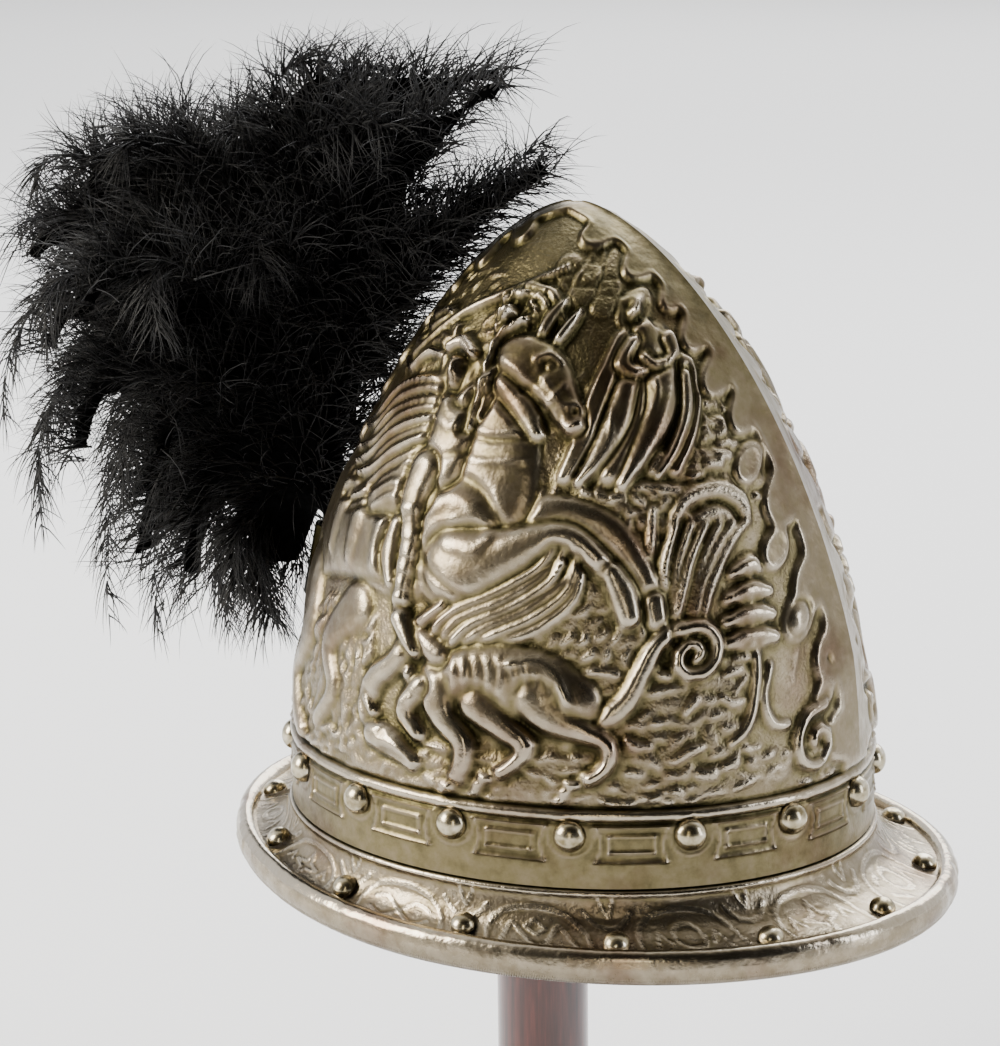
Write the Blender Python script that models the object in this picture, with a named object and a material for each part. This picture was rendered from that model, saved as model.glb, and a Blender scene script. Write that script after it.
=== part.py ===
"""Cabasset with a black plume, on a turned wooden stand.

Metres, +Z up. +X is the front of the helmet and +Y its left side. The origin is the middle
of the stand's foot, on the surface that it stands on. The bowl's own heights are measured
from its foot, the lower edge of its base band.
"""
import math
from collections import namedtuple

import bmesh
import bpy
import numpy as np
from mathutils import Matrix, Vector

# Gap between pieces that touch
CLEARANCE = 0.0003

# Skull: the pointed bowl, with its base band and medial ridge
SKULL_LENGTH = 0.2325
SKULL_WIDTH = 0.1995
SKULL_HEIGHT = 0.2305
SKULL_WALL = 0.0016
SHOULDER_POWER = 1.90
POINT_POWER = 0.66
BAND_HEIGHT = 0.0285
RIDGE_HEIGHT = 0.0042
RIDGE_SPREAD = 0.13
RIDGE_FADE = 0.20

# Cast relief on both sides of the skull
RELIEF_HEIGHT = 0.0062
BORDER_INSET = 0.013
BORDER_WIDTH = 0.0075
BORDER_HEIGHT = 0.0028

# Brim with its rolled edge
BRIM_END_REACH = 0.0295
BRIM_SIDE_REACH = 0.01875
BRIM_SHEET = 0.0016
BRIM_FORWARD = 0.0048
BRIM_DROP = 0.0288
BRIM_BOW_FRONT = 0.0010
BRIM_BOW_BACK = 0.0090
COLLAR_HEIGHT = 0.0110
ROLL_WIDTH = 0.0088
ROLL_HEIGHT = 0.0132
CREASE_ANGLE = 150

# Rivets
BAND_RIVETS = 16
BAND_RIVET_WIDTH = 0.0120
BAND_RIVET_HEIGHT = 0.0048
BAND_RIVET_LEVEL = 0.0195
BRIM_RIVETS = 14
BRIM_RIVET_WIDTH = 0.0098
BRIM_RIVET_HEIGHT = 0.0040
BRIM_RIVET_TURN = 3

# Plume and the hidden socket that carries it
SOCKET_WIDTH = 0.0110
SOCKET_WALL = 0.0016
SOCKET_LENGTH = 0.0300
SOCKET_LEVEL = 0.0640
SOCKET_REST = 0.0020
PLUME_REACH = 0.1450
PLUME_HEIGHT = 0.1800
PLUME_SPREAD = 0.0620
LOCK_WIDTH = 0.0480
LOCK_THICKNESS = 0.0180
LOCK_LEAN = 0.15
LOCK_TILT = 0.30
LOCK_ROOT = 0.12
LOCK_TAPER = 0.75
PLUME_STANDOFF = 0.0020
PLUME_GATHER = 0.0430

# Wooden stand
STAND_HEIGHT = 0.1950
POST_WIDTH = 0.0362
HELMET_AHEAD = 0.0170
BASE_WIDTH = 0.1800
BASE_HEIGHT = 0.0220
BASE_EDGE = 0.0070

# Fineness of the faceted solids
SKULL_COLUMNS = 60
SKULL_ROWS = 36
HOLLOW_ROWS = 8
RIVET_SIDES = 8
LOCK_SIDES = 6
LOCK_STATIONS = 7
POST_SIDES = 24
SOCKET_SIDES = 12
BASE_SIDES = 36
FEATHER_GRAIN = 0.0060
FEATHER_FACES = 2100

# The middle of the bowl at its foot, ahead of the post that stands under the helmet's balance
FOOT = Vector((HELMET_AHEAD, 0.0, STAND_HEIGHT))

# The brim's upper face from the band's foot to the crease of the roll, as shares of its width and drop
Slope = namedtuple("Slope", "out drop")
BRIM_SLOPE = (
    Slope(0.00, 0.00),
    Slope(0.07, 0.29),
    Slope(0.19, 0.53),
    Slope(0.40, 0.75),
    Slope(0.70, 0.91),
    Slope(1.00, 1.00),
)

# Relief, as chains of knots. Across and up are hundredths of the side's half width and of the
# field's height, the radius is hundredths of the field's height, and high is a share of
# RELIEF_HEIGHT. Across runs from the middle of the side, positive to the front.
Knot = namedtuple("Knot", "across up radius high")
RELIEF = {
    "rider_head": (Knot(-12, 65, 3.6, 0.90),),
    "rider_crest": (Knot(-15, 69, 2.4, 0.70), Knot(-8, 73, 2.4, 0.60)),
    "rider_body": (Knot(-12, 60, 4.0, 0.75), Knot(-14, 51, 5.5, 0.85)),
    "lance": (Knot(-25, 68, 2.0, 0.35), Knot(1, 82, 2.0, 0.45)),
    "cape_top": (Knot(-11, 59, 2.6, 0.60), Knot(-25, 59, 2.8, 0.60), Knot(-37, 56, 2.6, 0.40)),
    "cape_middle": (Knot(-13, 56, 2.6, 0.65), Knot(-27, 54, 2.8, 0.60), Knot(-40, 47, 2.6, 0.40)),
    "cape_low": (Knot(-14, 51, 2.6, 0.60), Knot(-31, 44, 2.8, 0.45)),
    "saddle": (Knot(-17, 46, 3.6, 0.55), Knot(-26, 45, 3.4, 0.45)),
    "rider_leg": (Knot(-15, 46, 2.6, 0.80), Knot(-15, 36, 2.2, 0.90), Knot(-14, 25, 2.2, 0.80)),
    "horse_chest": (Knot(-3, 42, 7.2, 1.00), Knot(0, 35, 6.4, 0.85)),
    "horse_neck": (Knot(1, 66, 3.8, 0.70), Knot(3, 57, 5.0, 0.75), Knot(2, 48, 6.2, 0.80)),
    "horse_head": (Knot(2, 68, 2.8, 0.85), Knot(9, 64, 2.8, 0.90), Knot(16, 60, 2.2, 0.80)),
    "horse_mane": (Knot(3, 75, 2.4, 0.55), Knot(-3, 73, 3.0, 0.75), Knot(-6, 66, 3.0, 0.65)),
    "horse_flank": (Knot(-27, 37, 6.8, 0.70), Knot(-48, 40, 6.6, 0.70)),
    "horse_foreleg": (Knot(4, 37, 3.4, 0.85), Knot(20, 40, 2.4, 0.80), Knot(34, 34, 2.2, 0.70)),
    "horse_hindleg": (Knot(-50, 34, 4.0, 0.60), Knot(-46, 16, 2.6, 0.50), Knot(-57, 8, 2.2, 0.45)),
    "wing_top": (Knot(-6, 21, 3.0, 0.80), Knot(6, 27, 3.2, 0.90), Knot(17, 35, 2.4, 0.70)),
    "wing_low": (Knot(0, 20, 3.0, 0.80), Knot(14, 27, 2.8, 0.65), Knot(28, 29, 2.4, 0.45)),
    "dragon_body": (Knot(-8, 14, 3.2, 0.70), Knot(2, 19, 3.6, 0.95), Knot(16, 18, 3.0, 0.85)),
    "dragon_neck": (Knot(-8, 22, 2.4, 0.70), Knot(-14, 19, 2.2, 0.75), Knot(-20, 13, 2.2, 0.65)),
    "dragon_claw": (Knot(2, 16, 2.2, 0.70), Knot(1, 5, 2.0, 0.45)),
    "dragon_foot": (Knot(18, 16, 2.4, 0.70), Knot(12, 7, 2.0, 0.50)),
    "tail_root": (Knot(20, 19, 2.6, 0.75), Knot(33, 17, 2.2, 0.60), Knot(39, 24, 2.0, 0.60)),
    "tail_curl": (
        Knot(39, 24, 2.0, 0.60),
        Knot(44, 28, 2.0, 0.75),
        Knot(51, 27, 2.0, 0.75),
        Knot(52, 22, 2.0, 0.65),
        Knot(46, 21, 2.0, 0.65),
    ),
    "castle": (Knot(11, 86, 3.6, 0.25), Knot(13, 80, 4.2, 0.25)),
    "maiden_head": (Knot(23, 75, 2.2, 0.55),),
    "maiden": (Knot(25, 70, 3.2, 0.55), Knot(26, 52, 3.6, 0.70)),
    "maiden_cloak": (Knot(33, 66, 3.0, 0.50), Knot(33, 52, 3.2, 0.70)),
    "cliff": (Knot(42, 60, 3.4, 0.45), Knot(54, 57, 4.0, 0.55), Knot(66, 54, 3.0, 0.60)),
    "ledge": (Knot(20, 46, 3.0, 0.45), Knot(42, 47, 3.6, 0.50), Knot(66, 50, 3.6, 0.55)),
    "boulder": (Knot(66, 44, 3.6, 0.80),),
    "fall_back": (Knot(43, 43, 2.4, 0.65), Knot(43, 30, 2.4, 0.60)),
    "fall_front": (Knot(50, 44, 2.4, 0.65), Knot(53, 32, 2.4, 0.60)),
    "tree_top": (Knot(59, 35, 3.2, 0.65), Knot(62, 29, 4.2, 0.75)),
    "tree_trunk": (Knot(63, 24, 2.0, 0.70), Knot(61, 12, 2.0, 0.60)),
    "bank": (Knot(42, 15, 3.4, 0.40), Knot(56, 14, 3.0, 0.35), Knot(70, 12, 3.0, 0.35)),
    "turf": (Knot(-60, 5, 2.8, 0.35), Knot(0, 6, 2.8, 0.35), Knot(64, 5, 2.8, 0.35)),
    "brush": (Knot(-62, 22, 5.0, 0.35), Knot(-34, 12, 5.0, 0.35)),
    "volute": (Knot(83, 8, 6.0, 0.60),),
    "upper_boss": (Knot(85, 27, 3.4, 0.75),),
    "scroll": (Knot(76, 32, 2.4, 0.50), Knot(80, 40, 3.0, 0.55), Knot(70, 51, 2.6, 0.60)),
}

# Locks of the plume. Back, side and up place the tip, as shares of the plume's reach, spread and
# rise from its root. Rise is how high the lock leaves the root, swing and crown place the turn of
# its arch behind and above the tip, in the same shares, and width is a share of LOCK_WIDTH.
Lock = namedtuple("Lock", "back side up rise swing crown width")
LOCKS = (
    Lock(-0.80, 0.05, 0.86, 0.30, 0.35, -0.20, 0.90),
    Lock(-0.72, -0.30, 1.00, 0.50, 0.45, -0.16, 0.90),
    Lock(-0.60, 0.30, 0.78, 0.35, 0.35, -0.15, 0.95),
    Lock(-0.45, -0.25, 0.66, 0.35, 0.30, -0.10, 1.00),
    Lock(-0.60, 0.30, 0.96, 0.70, 0.40, 0.05, 0.80),
    Lock(-0.45, -0.45, 0.88, 0.70, 0.30, 0.05, 0.85),
    Lock(-0.30, 0.10, 0.98, 0.70, 0.25, 0.03, 0.85),
    Lock(-0.14, -0.25, 1.00, 0.65, 0.15, 0.00, 0.85),
    Lock(-0.02, 0.45, 0.93, 0.60, 0.05, 0.03, 0.90),
    Lock(0.08, -0.20, 0.88, 0.60, 0.05, 0.05, 0.95),
    Lock(0.24, 0.25, 0.84, 0.60, 0.05, 0.08, 1.00),
    Lock(0.42, -0.35, 0.79, 0.65, 0.00, 0.12, 1.00),
    Lock(0.60, 0.20, 0.79, 0.70, 0.00, 0.12, 1.00),
    Lock(0.78, -0.20, 0.70, 0.75, 0.00, 0.16, 1.00),
    Lock(0.93, 0.25, 0.55, 0.80, 0.00, 0.22, 1.00),
    Lock(1.00, -0.10, 0.42, 0.80, 0.00, 0.30, 1.00),
    Lock(0.96, 0.30, 0.30, 0.80, 0.00, 0.36, 1.00),
    Lock(0.90, -0.30, 0.16, 0.80, 0.00, 0.42, 1.00),
    Lock(0.84, 0.20, 0.02, 0.75, 0.02, 0.50, 1.00),
    Lock(0.80, -0.25, -0.10, 0.70, 0.04, 0.55, 1.00),
    Lock(0.72, 0.25, -0.22, 0.65, 0.05, 0.60, 1.00),
    Lock(0.62, -0.10, -0.33, 0.60, 0.05, 0.60, 1.00),
    Lock(0.51, 0.20, -0.39, 0.55, 0.06, 0.60, 1.00),
    Lock(0.40, -0.25, -0.33, 0.45, 0.08, 0.50, 0.95),
    Lock(0.30, 0.15, -0.28, 0.35, 0.10, 0.45, 0.90),
    Lock(0.20, -0.10, -0.30, 0.20, 0.12, 0.40, 0.85),
    Lock(0.12, 0.15, -0.30, 0.10, 0.12, 0.30, 0.70),
    Lock(0.15, -0.95, 0.45, 0.60, 0.10, 0.25, 1.00),
    Lock(0.15, 0.95, 0.45, 0.60, 0.10, 0.25, 1.00),
    Lock(0.50, -1.00, 0.40, 0.60, 0.05, 0.30, 1.00),
    Lock(0.50, 1.00, 0.40, 0.60, 0.05, 0.30, 1.00),
    Lock(0.30, -0.90, 0.05, 0.50, 0.05, 0.35, 1.00),
    Lock(0.35, 0.90, 0.05, 0.50, 0.05, 0.35, 1.00),
    Lock(0.60, -0.85, 0.05, 0.55, 0.05, 0.40, 1.00),
    Lock(0.60, 0.85, 0.05, 0.55, 0.05, 0.40, 1.00),
    Lock(-0.10, -0.60, 0.58, 0.50, 0.10, 0.15, 0.90),
    Lock(-0.25, 0.60, 0.50, 0.50, 0.10, 0.15, 0.95),
    Lock(-0.15, 0.65, 0.25, 0.35, 0.10, 0.15, 0.95),
    Lock(-0.02, 0.55, 0.02, 0.25, 0.10, 0.15, 0.90),
)


def clear_scene():
    for item in list(bpy.data.objects):
        bpy.data.objects.remove(item, do_unlink=True)


def principled(name, colour, metallic, roughness):
    material = bpy.data.materials.new(name)
    material.use_nodes = True
    shader = material.node_tree.nodes["Principled BSDF"]
    shader.inputs["Base Color"].default_value = (*colour, 1.0)
    shader.inputs["Metallic"].default_value = metallic
    shader.inputs["Roughness"].default_value = roughness
    material.diffuse_color = (*colour, 1.0)
    return material


def add_object(name, mesh, material, parent, sharp_degrees=40):
    mesh.shade_smooth()
    mesh.set_sharp_from_angle(angle=math.radians(sharp_degrees))
    if not mesh.materials:
        mesh.materials.append(material)
    item = bpy.data.objects.new(name, mesh)
    item.parent = parent
    bpy.context.scene.collection.objects.link(item)
    return item


def mesh_from(bm, name):
    bmesh.ops.recalc_face_normals(bm, faces=bm.faces)
    mesh = bpy.data.meshes.new(name)
    bm.to_mesh(mesh)
    bm.free()
    return mesh


def wrapped_grid(columns, rows, place):
    """A grid bent round into a closed skin: place(angle, row) gives each corner, and seams are welded."""
    bm = bmesh.new()
    bmesh.ops.create_grid(bm, x_segments=columns, y_segments=rows - 1, size=0.5)
    for vertex in bm.verts:
        column = round((vertex.co.x + 0.5) * columns)
        row = round((vertex.co.y + 0.5) * (rows - 1))
        angle = 2.0 * math.pi * (column % columns) / columns
        vertex.co = place(angle, row)
    bmesh.ops.remove_doubles(bm, verts=bm.verts, dist=0.00001)
    return bm


def bowl_share(height):
    """Half width of the bowl at a share of its height, as a share of its half width at the foot."""
    height = np.clip(height, 0.0, 1.0)
    return (1.0 - height ** SHOULDER_POWER) ** POINT_POWER


# Heights along the bowl, evenly spaced on its side line
FINE_SHARES = 1.0 - (1.0 - np.linspace(0.0, 1.0, 2001)) ** 2
MEAN_RADIUS = (SKULL_LENGTH + SKULL_WIDTH) / 4.0
SIDE_LINE = np.concatenate((
    [0.0],
    np.cumsum(np.hypot(
        np.diff(FINE_SHARES) * SKULL_HEIGHT,
        np.diff(bowl_share(FINE_SHARES)) * MEAN_RADIUS,
    )),
))
FIELD_START = float(np.interp(BAND_HEIGHT / SKULL_HEIGHT, FINE_SHARES, SIDE_LINE))
FIELD_HEIGHT = float(SIDE_LINE[-1]) - FIELD_START
FIELD_HALF = MEAN_RADIUS * math.pi / 2.0


def even_shares(rows):
    """Shares of the bowl's height that divide its side line evenly into rows."""
    return np.interp(np.linspace(0.0, SIDE_LINE[-1], rows + 1), SIDE_LINE, FINE_SHARES)


def ridge(angle, height):
    """How far the medial ridge stands out, front and back, fading out above the band."""
    turn = min(abs(math.remainder(angle, math.pi)), math.pi / 2.0)
    fade = min(max((height - BAND_HEIGHT / SKULL_HEIGHT) / RIDGE_FADE, 0.0), 1.0)
    return RIDGE_HEIGHT * math.exp(-turn / RIDGE_SPREAD) * fade * float(bowl_share(height)) ** 0.5


def chain_height(across, up, chain):
    """Height of one rounded chain at a place on the unrolled side, both in metres."""
    best = 0.0
    knots = [Knot(k.across * FIELD_HALF / 100.0, k.up * FIELD_HEIGHT / 100.0,
                  k.radius * FIELD_HEIGHT / 100.0, k.high * RELIEF_HEIGHT) for k in chain]
    for first, second in zip(knots, knots[1:] or knots):
        run_x = second.across - first.across
        run_y = second.up - first.up
        length = run_x * run_x + run_y * run_y
        along = 0.0
        if length > 0.0:
            along = ((across - first.across) * run_x + (up - first.up) * run_y) / length
            along = min(max(along, 0.0), 1.0)
        away = math.hypot(across - first.across - along * run_x, up - first.up - along * run_y)
        radius = first.radius + along * (second.radius - first.radius)
        if away < radius:
            high = first.high + along * (second.high - first.high)
            best = max(best, high * math.sqrt(1.0 - (away / radius) ** 2))
    return best


def relief(angle, height):
    """Height of the cast relief at a place on the bowl, the same on both sides."""
    width = float(bowl_share(height))
    turn = math.asin(min(max(math.cos(angle), -1.0), 1.0))
    across = turn * MEAN_RADIUS * width
    up = float(np.interp(height, FINE_SHARES, SIDE_LINE)) - FIELD_START
    if up < 0.0:
        return 0.0
    to_ridge = FIELD_HALF * width - abs(across)
    border = 1.0 - abs(to_ridge - BORDER_INSET) / BORDER_WIDTH
    high = max(border, 0.0) * BORDER_HEIGHT
    if to_ridge > BORDER_INSET:
        high = max([high] + [chain_height(across, up, chain) for chain in RELIEF.values()])
    return high


def wall_point(angle, height, inset=0.0):
    """A point on the bowl's plain wall, at a share of its height, in the helmet's own place."""
    width = float(bowl_share(height))
    rise = (SKULL_HEIGHT - 2.0 * inset) * height
    return Vector((
        (SKULL_LENGTH / 2.0 - inset) * width * math.cos(angle),
        (SKULL_WIDTH / 2.0 - inset) * width * math.sin(angle),
        rise,
    ))


def wall_normal(angle, height):
    step = 0.001
    around = wall_point(angle + step, height) - wall_point(angle - step, height)
    upward = wall_point(angle, height + step) - wall_point(angle, height - step)
    return around.cross(upward).normalized()


def face_point(angle, height):
    """A point on the bowl's outer face, with its ridge and relief."""
    if height >= 1.0:
        return Vector((0.0, 0.0, SKULL_HEIGHT))
    out = wall_normal(angle, height)
    return wall_point(angle, height) + out * (ridge(angle, height) + relief(angle, height))


def hollow_shares():
    """Levels of the bowl's inner face, with one where the brim's collar ends."""
    even = even_shares(HOLLOW_ROWS)
    return np.concatenate((even[:1], [COLLAR_HEIGHT / SKULL_HEIGHT], even[1:]))


def make_skull(parent, metal):
    hollow = hollow_shares()[::-1]
    outside = even_shares(SKULL_ROWS)

    def place(angle, row):
        if row < len(hollow):
            return FOOT + wall_point(angle, float(hollow[row]), SKULL_WALL)
        return FOOT + face_point(angle, float(outside[row - len(hollow)]))

    bm = wrapped_grid(SKULL_COLUMNS, len(hollow) + len(outside), place)
    return add_object("skull", mesh_from(bm, "skull"), metal, parent)


def brim_edge(angle):
    """The outermost line of the rolled edge, at its lowest level."""
    bow = BRIM_BOW_FRONT if math.cos(angle) > 0.0 else BRIM_BOW_BACK
    return Vector((
        (SKULL_LENGTH / 2.0 + BRIM_END_REACH) * math.cos(angle) + BRIM_FORWARD,
        (SKULL_WIDTH / 2.0 + BRIM_SIDE_REACH) * math.sin(angle),
        -BRIM_DROP + bow * math.cos(angle) ** 2,
    ))


def brim_frame(angle):
    """Where the brim leaves the band, its outward direction, its width and its drop."""
    foot = wall_point(angle, 0.0)
    edge = brim_edge(angle)
    out = Vector((edge.x - foot.x, edge.y - foot.y, 0.0))
    return foot, out.normalized(), out.length, -edge.z


def roll_point(width, drop, degrees):
    """A point of the rolled edge's section, as a distance out and a level."""
    turn = math.radians(degrees)
    return (
        width - ROLL_WIDTH / 2.0 + ROLL_WIDTH / 2.0 * math.cos(turn),
        -drop + ROLL_HEIGHT / 2.0 + ROLL_HEIGHT / 2.0 * math.sin(turn),
    )


def slope_points(angle):
    """The brim's upper face at one direction, from the band's foot to the crease."""
    _, _, width, drop = brim_frame(angle)
    crease_out, crease_level = roll_point(width, drop, CREASE_ANGLE)
    fall = -CLEARANCE - crease_level
    return [(s.out * crease_out, -CLEARANCE - s.drop * fall) for s in BRIM_SLOPE]


def under_points(upper):
    """The brim's lower face: the upper one moved square to itself by the sheet's thickness."""
    lower = []
    for index in range(2, len(upper)):
        before = upper[index - 1]
        after = upper[min(index + 1, len(upper) - 1)]
        run, rise = after[0] - before[0], after[1] - before[1]
        length = math.hypot(run, rise)
        lower.append((
            upper[index][0] + BRIM_SHEET * rise / length,
            upper[index][1] - BRIM_SHEET * run / length,
        ))
    return lower


def brim_section(angle):
    """The brim's whole section at one direction, as a closed loop of points."""
    foot, out, width, drop = brim_frame(angle)
    collar = SKULL_WALL + CLEARANCE
    top = COLLAR_HEIGHT / SKULL_HEIGHT
    level = Vector((0.0, 0.0, 1.0))
    loop = [
        wall_point(angle, 0.0, collar + BRIM_SHEET) - level * (CLEARANCE + BRIM_SHEET),
        wall_point(angle, top, collar + BRIM_SHEET),
        wall_point(angle, top, collar),
        wall_point(angle, 0.0, collar) - level * CLEARANCE,
    ]
    upper = slope_points(angle)
    rolled = [roll_point(width, drop, turn) for turn in (102, 54, 6, -42, -90, -138)]
    lower = under_points(upper)[:-1][::-1]
    loop += [foot + out * reach + level * height for reach, height in upper + rolled + lower]
    return loop


def make_brim(parent, metal):
    def place(angle, row):
        section = brim_section(angle)
        return FOOT + section[row % len(section)]

    bm = wrapped_grid(SKULL_COLUMNS, len(brim_section(0.0)) + 1, place)
    return add_object("brim", mesh_from(bm, "brim"), metal, parent, sharp_degrees=50)


def rivet_mesh(name, width, height):
    """A domed rivet head, turned round its own Z axis, with its flat back at zero."""
    bm = bmesh.new()
    profile = [(0.0, 1.0), (0.62, 0.80), (0.93, 0.40), (1.0, 0.0)]
    points = [bm.verts.new((share * width / 2.0, 0.0, rise * height)) for share, rise in profile]
    lines = [bm.edges.new(pair) for pair in zip(points, points[1:])]
    bmesh.ops.spin(bm, geom=points + lines, cent=(0, 0, 0), axis=(0, 0, 1), dvec=(0, 0, 0),
                   angle=2.0 * math.pi, steps=RIVET_SIDES, use_merge=True, use_duplicate=False)
    bmesh.ops.remove_doubles(bm, verts=bm.verts, dist=0.00001)
    bmesh.ops.holes_fill(bm, edges=[edge for edge in bm.edges if edge.is_boundary], sides=0)
    return mesh_from(bm, name)


def aimed(point, out):
    """A matrix that stands a turned piece at a point, with its axis along out."""
    return Matrix.Translation(point) @ out.to_track_quat("Z", "Y").to_matrix().to_4x4()


def make_band_rivets(parent, metal):
    mesh = rivet_mesh("band_rivet", BAND_RIVET_WIDTH, BAND_RIVET_HEIGHT)
    level = BAND_RIVET_LEVEL / SKULL_HEIGHT
    for index in range(BAND_RIVETS):
        angle = 2.0 * math.pi * index / BAND_RIVETS
        out = wall_normal(angle, level)
        item = add_object(f"band_rivet_{index + 1:02d}", mesh, metal, parent)
        item.matrix_local = aimed(FOOT + wall_point(angle, level) + out * CLEARANCE, out)


def slope_at(upper, travel):
    """A point on the brim's upper face, at a distance back from the crease along the face."""
    for (outer, low), (inner, high) in zip(upper[::-1], upper[-2::-1]):
        length = math.hypot(outer - inner, high - low)
        if travel <= length:
            share = travel / length
            return outer + share * (inner - outer), low + share * (high - low)
        travel -= length
    return upper[0]


def brim_face_point(angle, travel):
    """A point on the brim's upper face, at a distance back from the crease."""
    foot, out, _, _ = brim_frame(angle)
    reach, level = slope_at(slope_points(angle), travel)
    return foot + out * reach + Vector((0.0, 0.0, level))


def make_brim_rivets(parent, metal):
    """Each rivet's flat back bridges the hollow of the brim beside the roll, clear of what it covers."""
    mesh = rivet_mesh("brim_rivet", BRIM_RIVET_WIDTH, BRIM_RIVET_HEIGHT)
    start = 2.0 * CLEARANCE
    turn = BRIM_RIVET_WIDTH / (SKULL_WIDTH + 2.0 * BRIM_SIDE_REACH)
    for index in range(BRIM_RIVETS):
        angle = 2.0 * math.pi * (index + 0.5) / BRIM_RIVETS + math.radians(BRIM_RIVET_TURN)
        low = brim_face_point(angle, start)
        high = brim_face_point(angle, start + BRIM_RIVET_WIDTH)
        beside = [brim_face_point(angle + side, start + BRIM_RIVET_WIDTH / 2.0) for side in (-turn, turn)]
        normal = (low - high).cross(beside[1] - beside[0]).normalized()
        centre = (low + high) / 2.0
        covered = [brim_face_point(angle + side * turn, start + share * BRIM_RIVET_WIDTH)
                   for side in np.linspace(-1.0, 1.0, 7) for share in np.linspace(0.0, 1.0, 9)
                   if math.hypot(side, 2.0 * share - 1.0) < 1.1]
        lift = max((point - centre).dot(normal) for point in covered) + CLEARANCE
        item = add_object(f"brim_rivet_{index + 1:02d}", mesh, metal, parent)
        item.matrix_local = aimed(FOOT + centre + normal * lift, normal)


def socket_line():
    """The socket's lower end and its axis, laid along the ridge at the back of the skull."""
    low = SOCKET_LEVEL / SKULL_HEIGHT
    high = (SOCKET_LEVEL + SOCKET_LENGTH) / SKULL_HEIGHT
    shares = np.linspace(low, high, 9)
    back = [face_point(math.pi, float(share)) for share in shares]
    axis = (back[-1] - back[0]).normalized()
    away = Vector((0.0, 1.0, 0.0)).cross(axis) * -1.0
    if away.x > 0.0:
        away = -away
    bulge = max((point - back[0]).dot(away) for point in back)
    start = back[0] + away * (bulge + CLEARANCE + SOCKET_WIDTH / 2.0)
    return start, axis


def turned(name, profile, sides):
    """A solid turned round Z from a closed-ended profile of (radius, level) points."""
    bm = bmesh.new()
    points = [bm.verts.new((radius, 0.0, level)) for radius, level in profile]
    lines = [bm.edges.new(pair) for pair in zip(points, points[1:])]
    if profile[0][0] > 0.0:
        lines.append(bm.edges.new((points[-1], points[0])))
    bmesh.ops.spin(bm, geom=points + lines, cent=(0, 0, 0), axis=(0, 0, 1), dvec=(0, 0, 0),
                   angle=2.0 * math.pi, steps=sides, use_merge=True, use_duplicate=False)
    bmesh.ops.remove_doubles(bm, verts=bm.verts, dist=0.00001)
    return mesh_from(bm, name)


def make_socket(parent, metal):
    outer = SOCKET_WIDTH / 2.0
    bore = outer - SOCKET_WALL
    profile = [
        (bore, SOCKET_REST),
        (bore, SOCKET_LENGTH),
        (outer, SOCKET_LENGTH),
        (outer, 0.0),
        (bore, 0.0),
    ]
    start, axis = socket_line()
    item = add_object("plume_socket", turned("plume_socket", profile, SOCKET_SIDES), metal, parent)
    item.matrix_local = aimed(FOOT + start, axis)


def push_clear(point, root):
    """Moves a plume point out of the space that the skull and its relief take up."""
    height = min(max(point.z / SKULL_HEIGHT, 0.0), 1.0)
    away = min((point - root).length / PLUME_GATHER, 1.0)
    margin = (RELIEF_HEIGHT + PLUME_STANDOFF) * away + RIDGE_HEIGHT
    half_x = SKULL_LENGTH / 2.0 * float(bowl_share(height)) + margin
    half_y = SKULL_WIDTH / 2.0 * float(bowl_share(height)) + margin
    spread = math.hypot(point.x / half_x, point.y / half_y)
    if point.z > SKULL_HEIGHT + margin or spread >= 1.0:
        return point
    return Vector((point.x / spread, point.y / spread, point.z))


def bezier(points, share):
    one = 1.0 - share
    weights = (one ** 3, 3.0 * one * one * share, 3.0 * one * share * share, share ** 3)
    return sum((point * weight for point, weight in zip(points, weights)), Vector())


def lock_mesh(root, lock):
    """One lock: a flat, arching strip, swelling from the plume's root and tapering to its tip."""
    tip = root + Vector((-lock.back * PLUME_REACH, lock.side * PLUME_SPREAD, lock.up * PLUME_HEIGHT))
    first = root + Vector((-LOCK_LEAN * PLUME_REACH, 0.0, lock.rise * PLUME_HEIGHT))
    second = tip + Vector((-lock.swing * PLUME_REACH, 0.0, lock.crown * PLUME_HEIGHT))
    line = (root, first, second, tip)
    bm = bmesh.new()
    rings = []
    for station in range(LOCK_STATIONS + 1):
        share = station / LOCK_STATIONS
        centre = bezier(line, share)
        along = (bezier(line, share + 0.02) - bezier(line, share - 0.02)).normalized()
        across = along.cross(Vector((-lock.back, lock.side, LOCK_TILT))).normalized()
        thick = across.cross(along)
        full = math.sin(math.pi * (LOCK_ROOT + (1.0 - 2.0 * LOCK_ROOT) * share))
        swell = (LOCK_ROOT + (1.0 - LOCK_ROOT) * full) * (1.0 - LOCK_TAPER * share ** 4)
        ring = []
        for side in range(LOCK_SIDES):
            turn = 2.0 * math.pi * side / LOCK_SIDES
            point = centre + across * (lock.width * LOCK_WIDTH / 2.0 * swell * math.cos(turn))
            point += thick * (LOCK_THICKNESS / 2.0 * swell * math.sin(turn))
            ring.append(bm.verts.new(push_clear(point, root)))
        rings.append(ring)
    for lower, upper in zip(rings, rings[1:]):
        for side in range(LOCK_SIDES):
            beside = (side + 1) % LOCK_SIDES
            bm.faces.new((lower[side], lower[beside], upper[beside], upper[side]))
    bm.faces.new(rings[0])
    bm.faces.new(rings[-1])
    return mesh_from(bm, "lock")


def finished(mesh, set_up):
    """The mesh that an object gives once set_up has put its modifiers on it."""
    body = bpy.data.objects.new("finished", mesh)
    bpy.context.scene.collection.objects.link(body)
    set_up(body)
    bpy.context.view_layer.update()
    result = bpy.data.meshes.new_from_object(
        body.evaluated_get(bpy.context.evaluated_depsgraph_get()))
    bpy.data.objects.remove(body, do_unlink=True)
    return result


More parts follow.
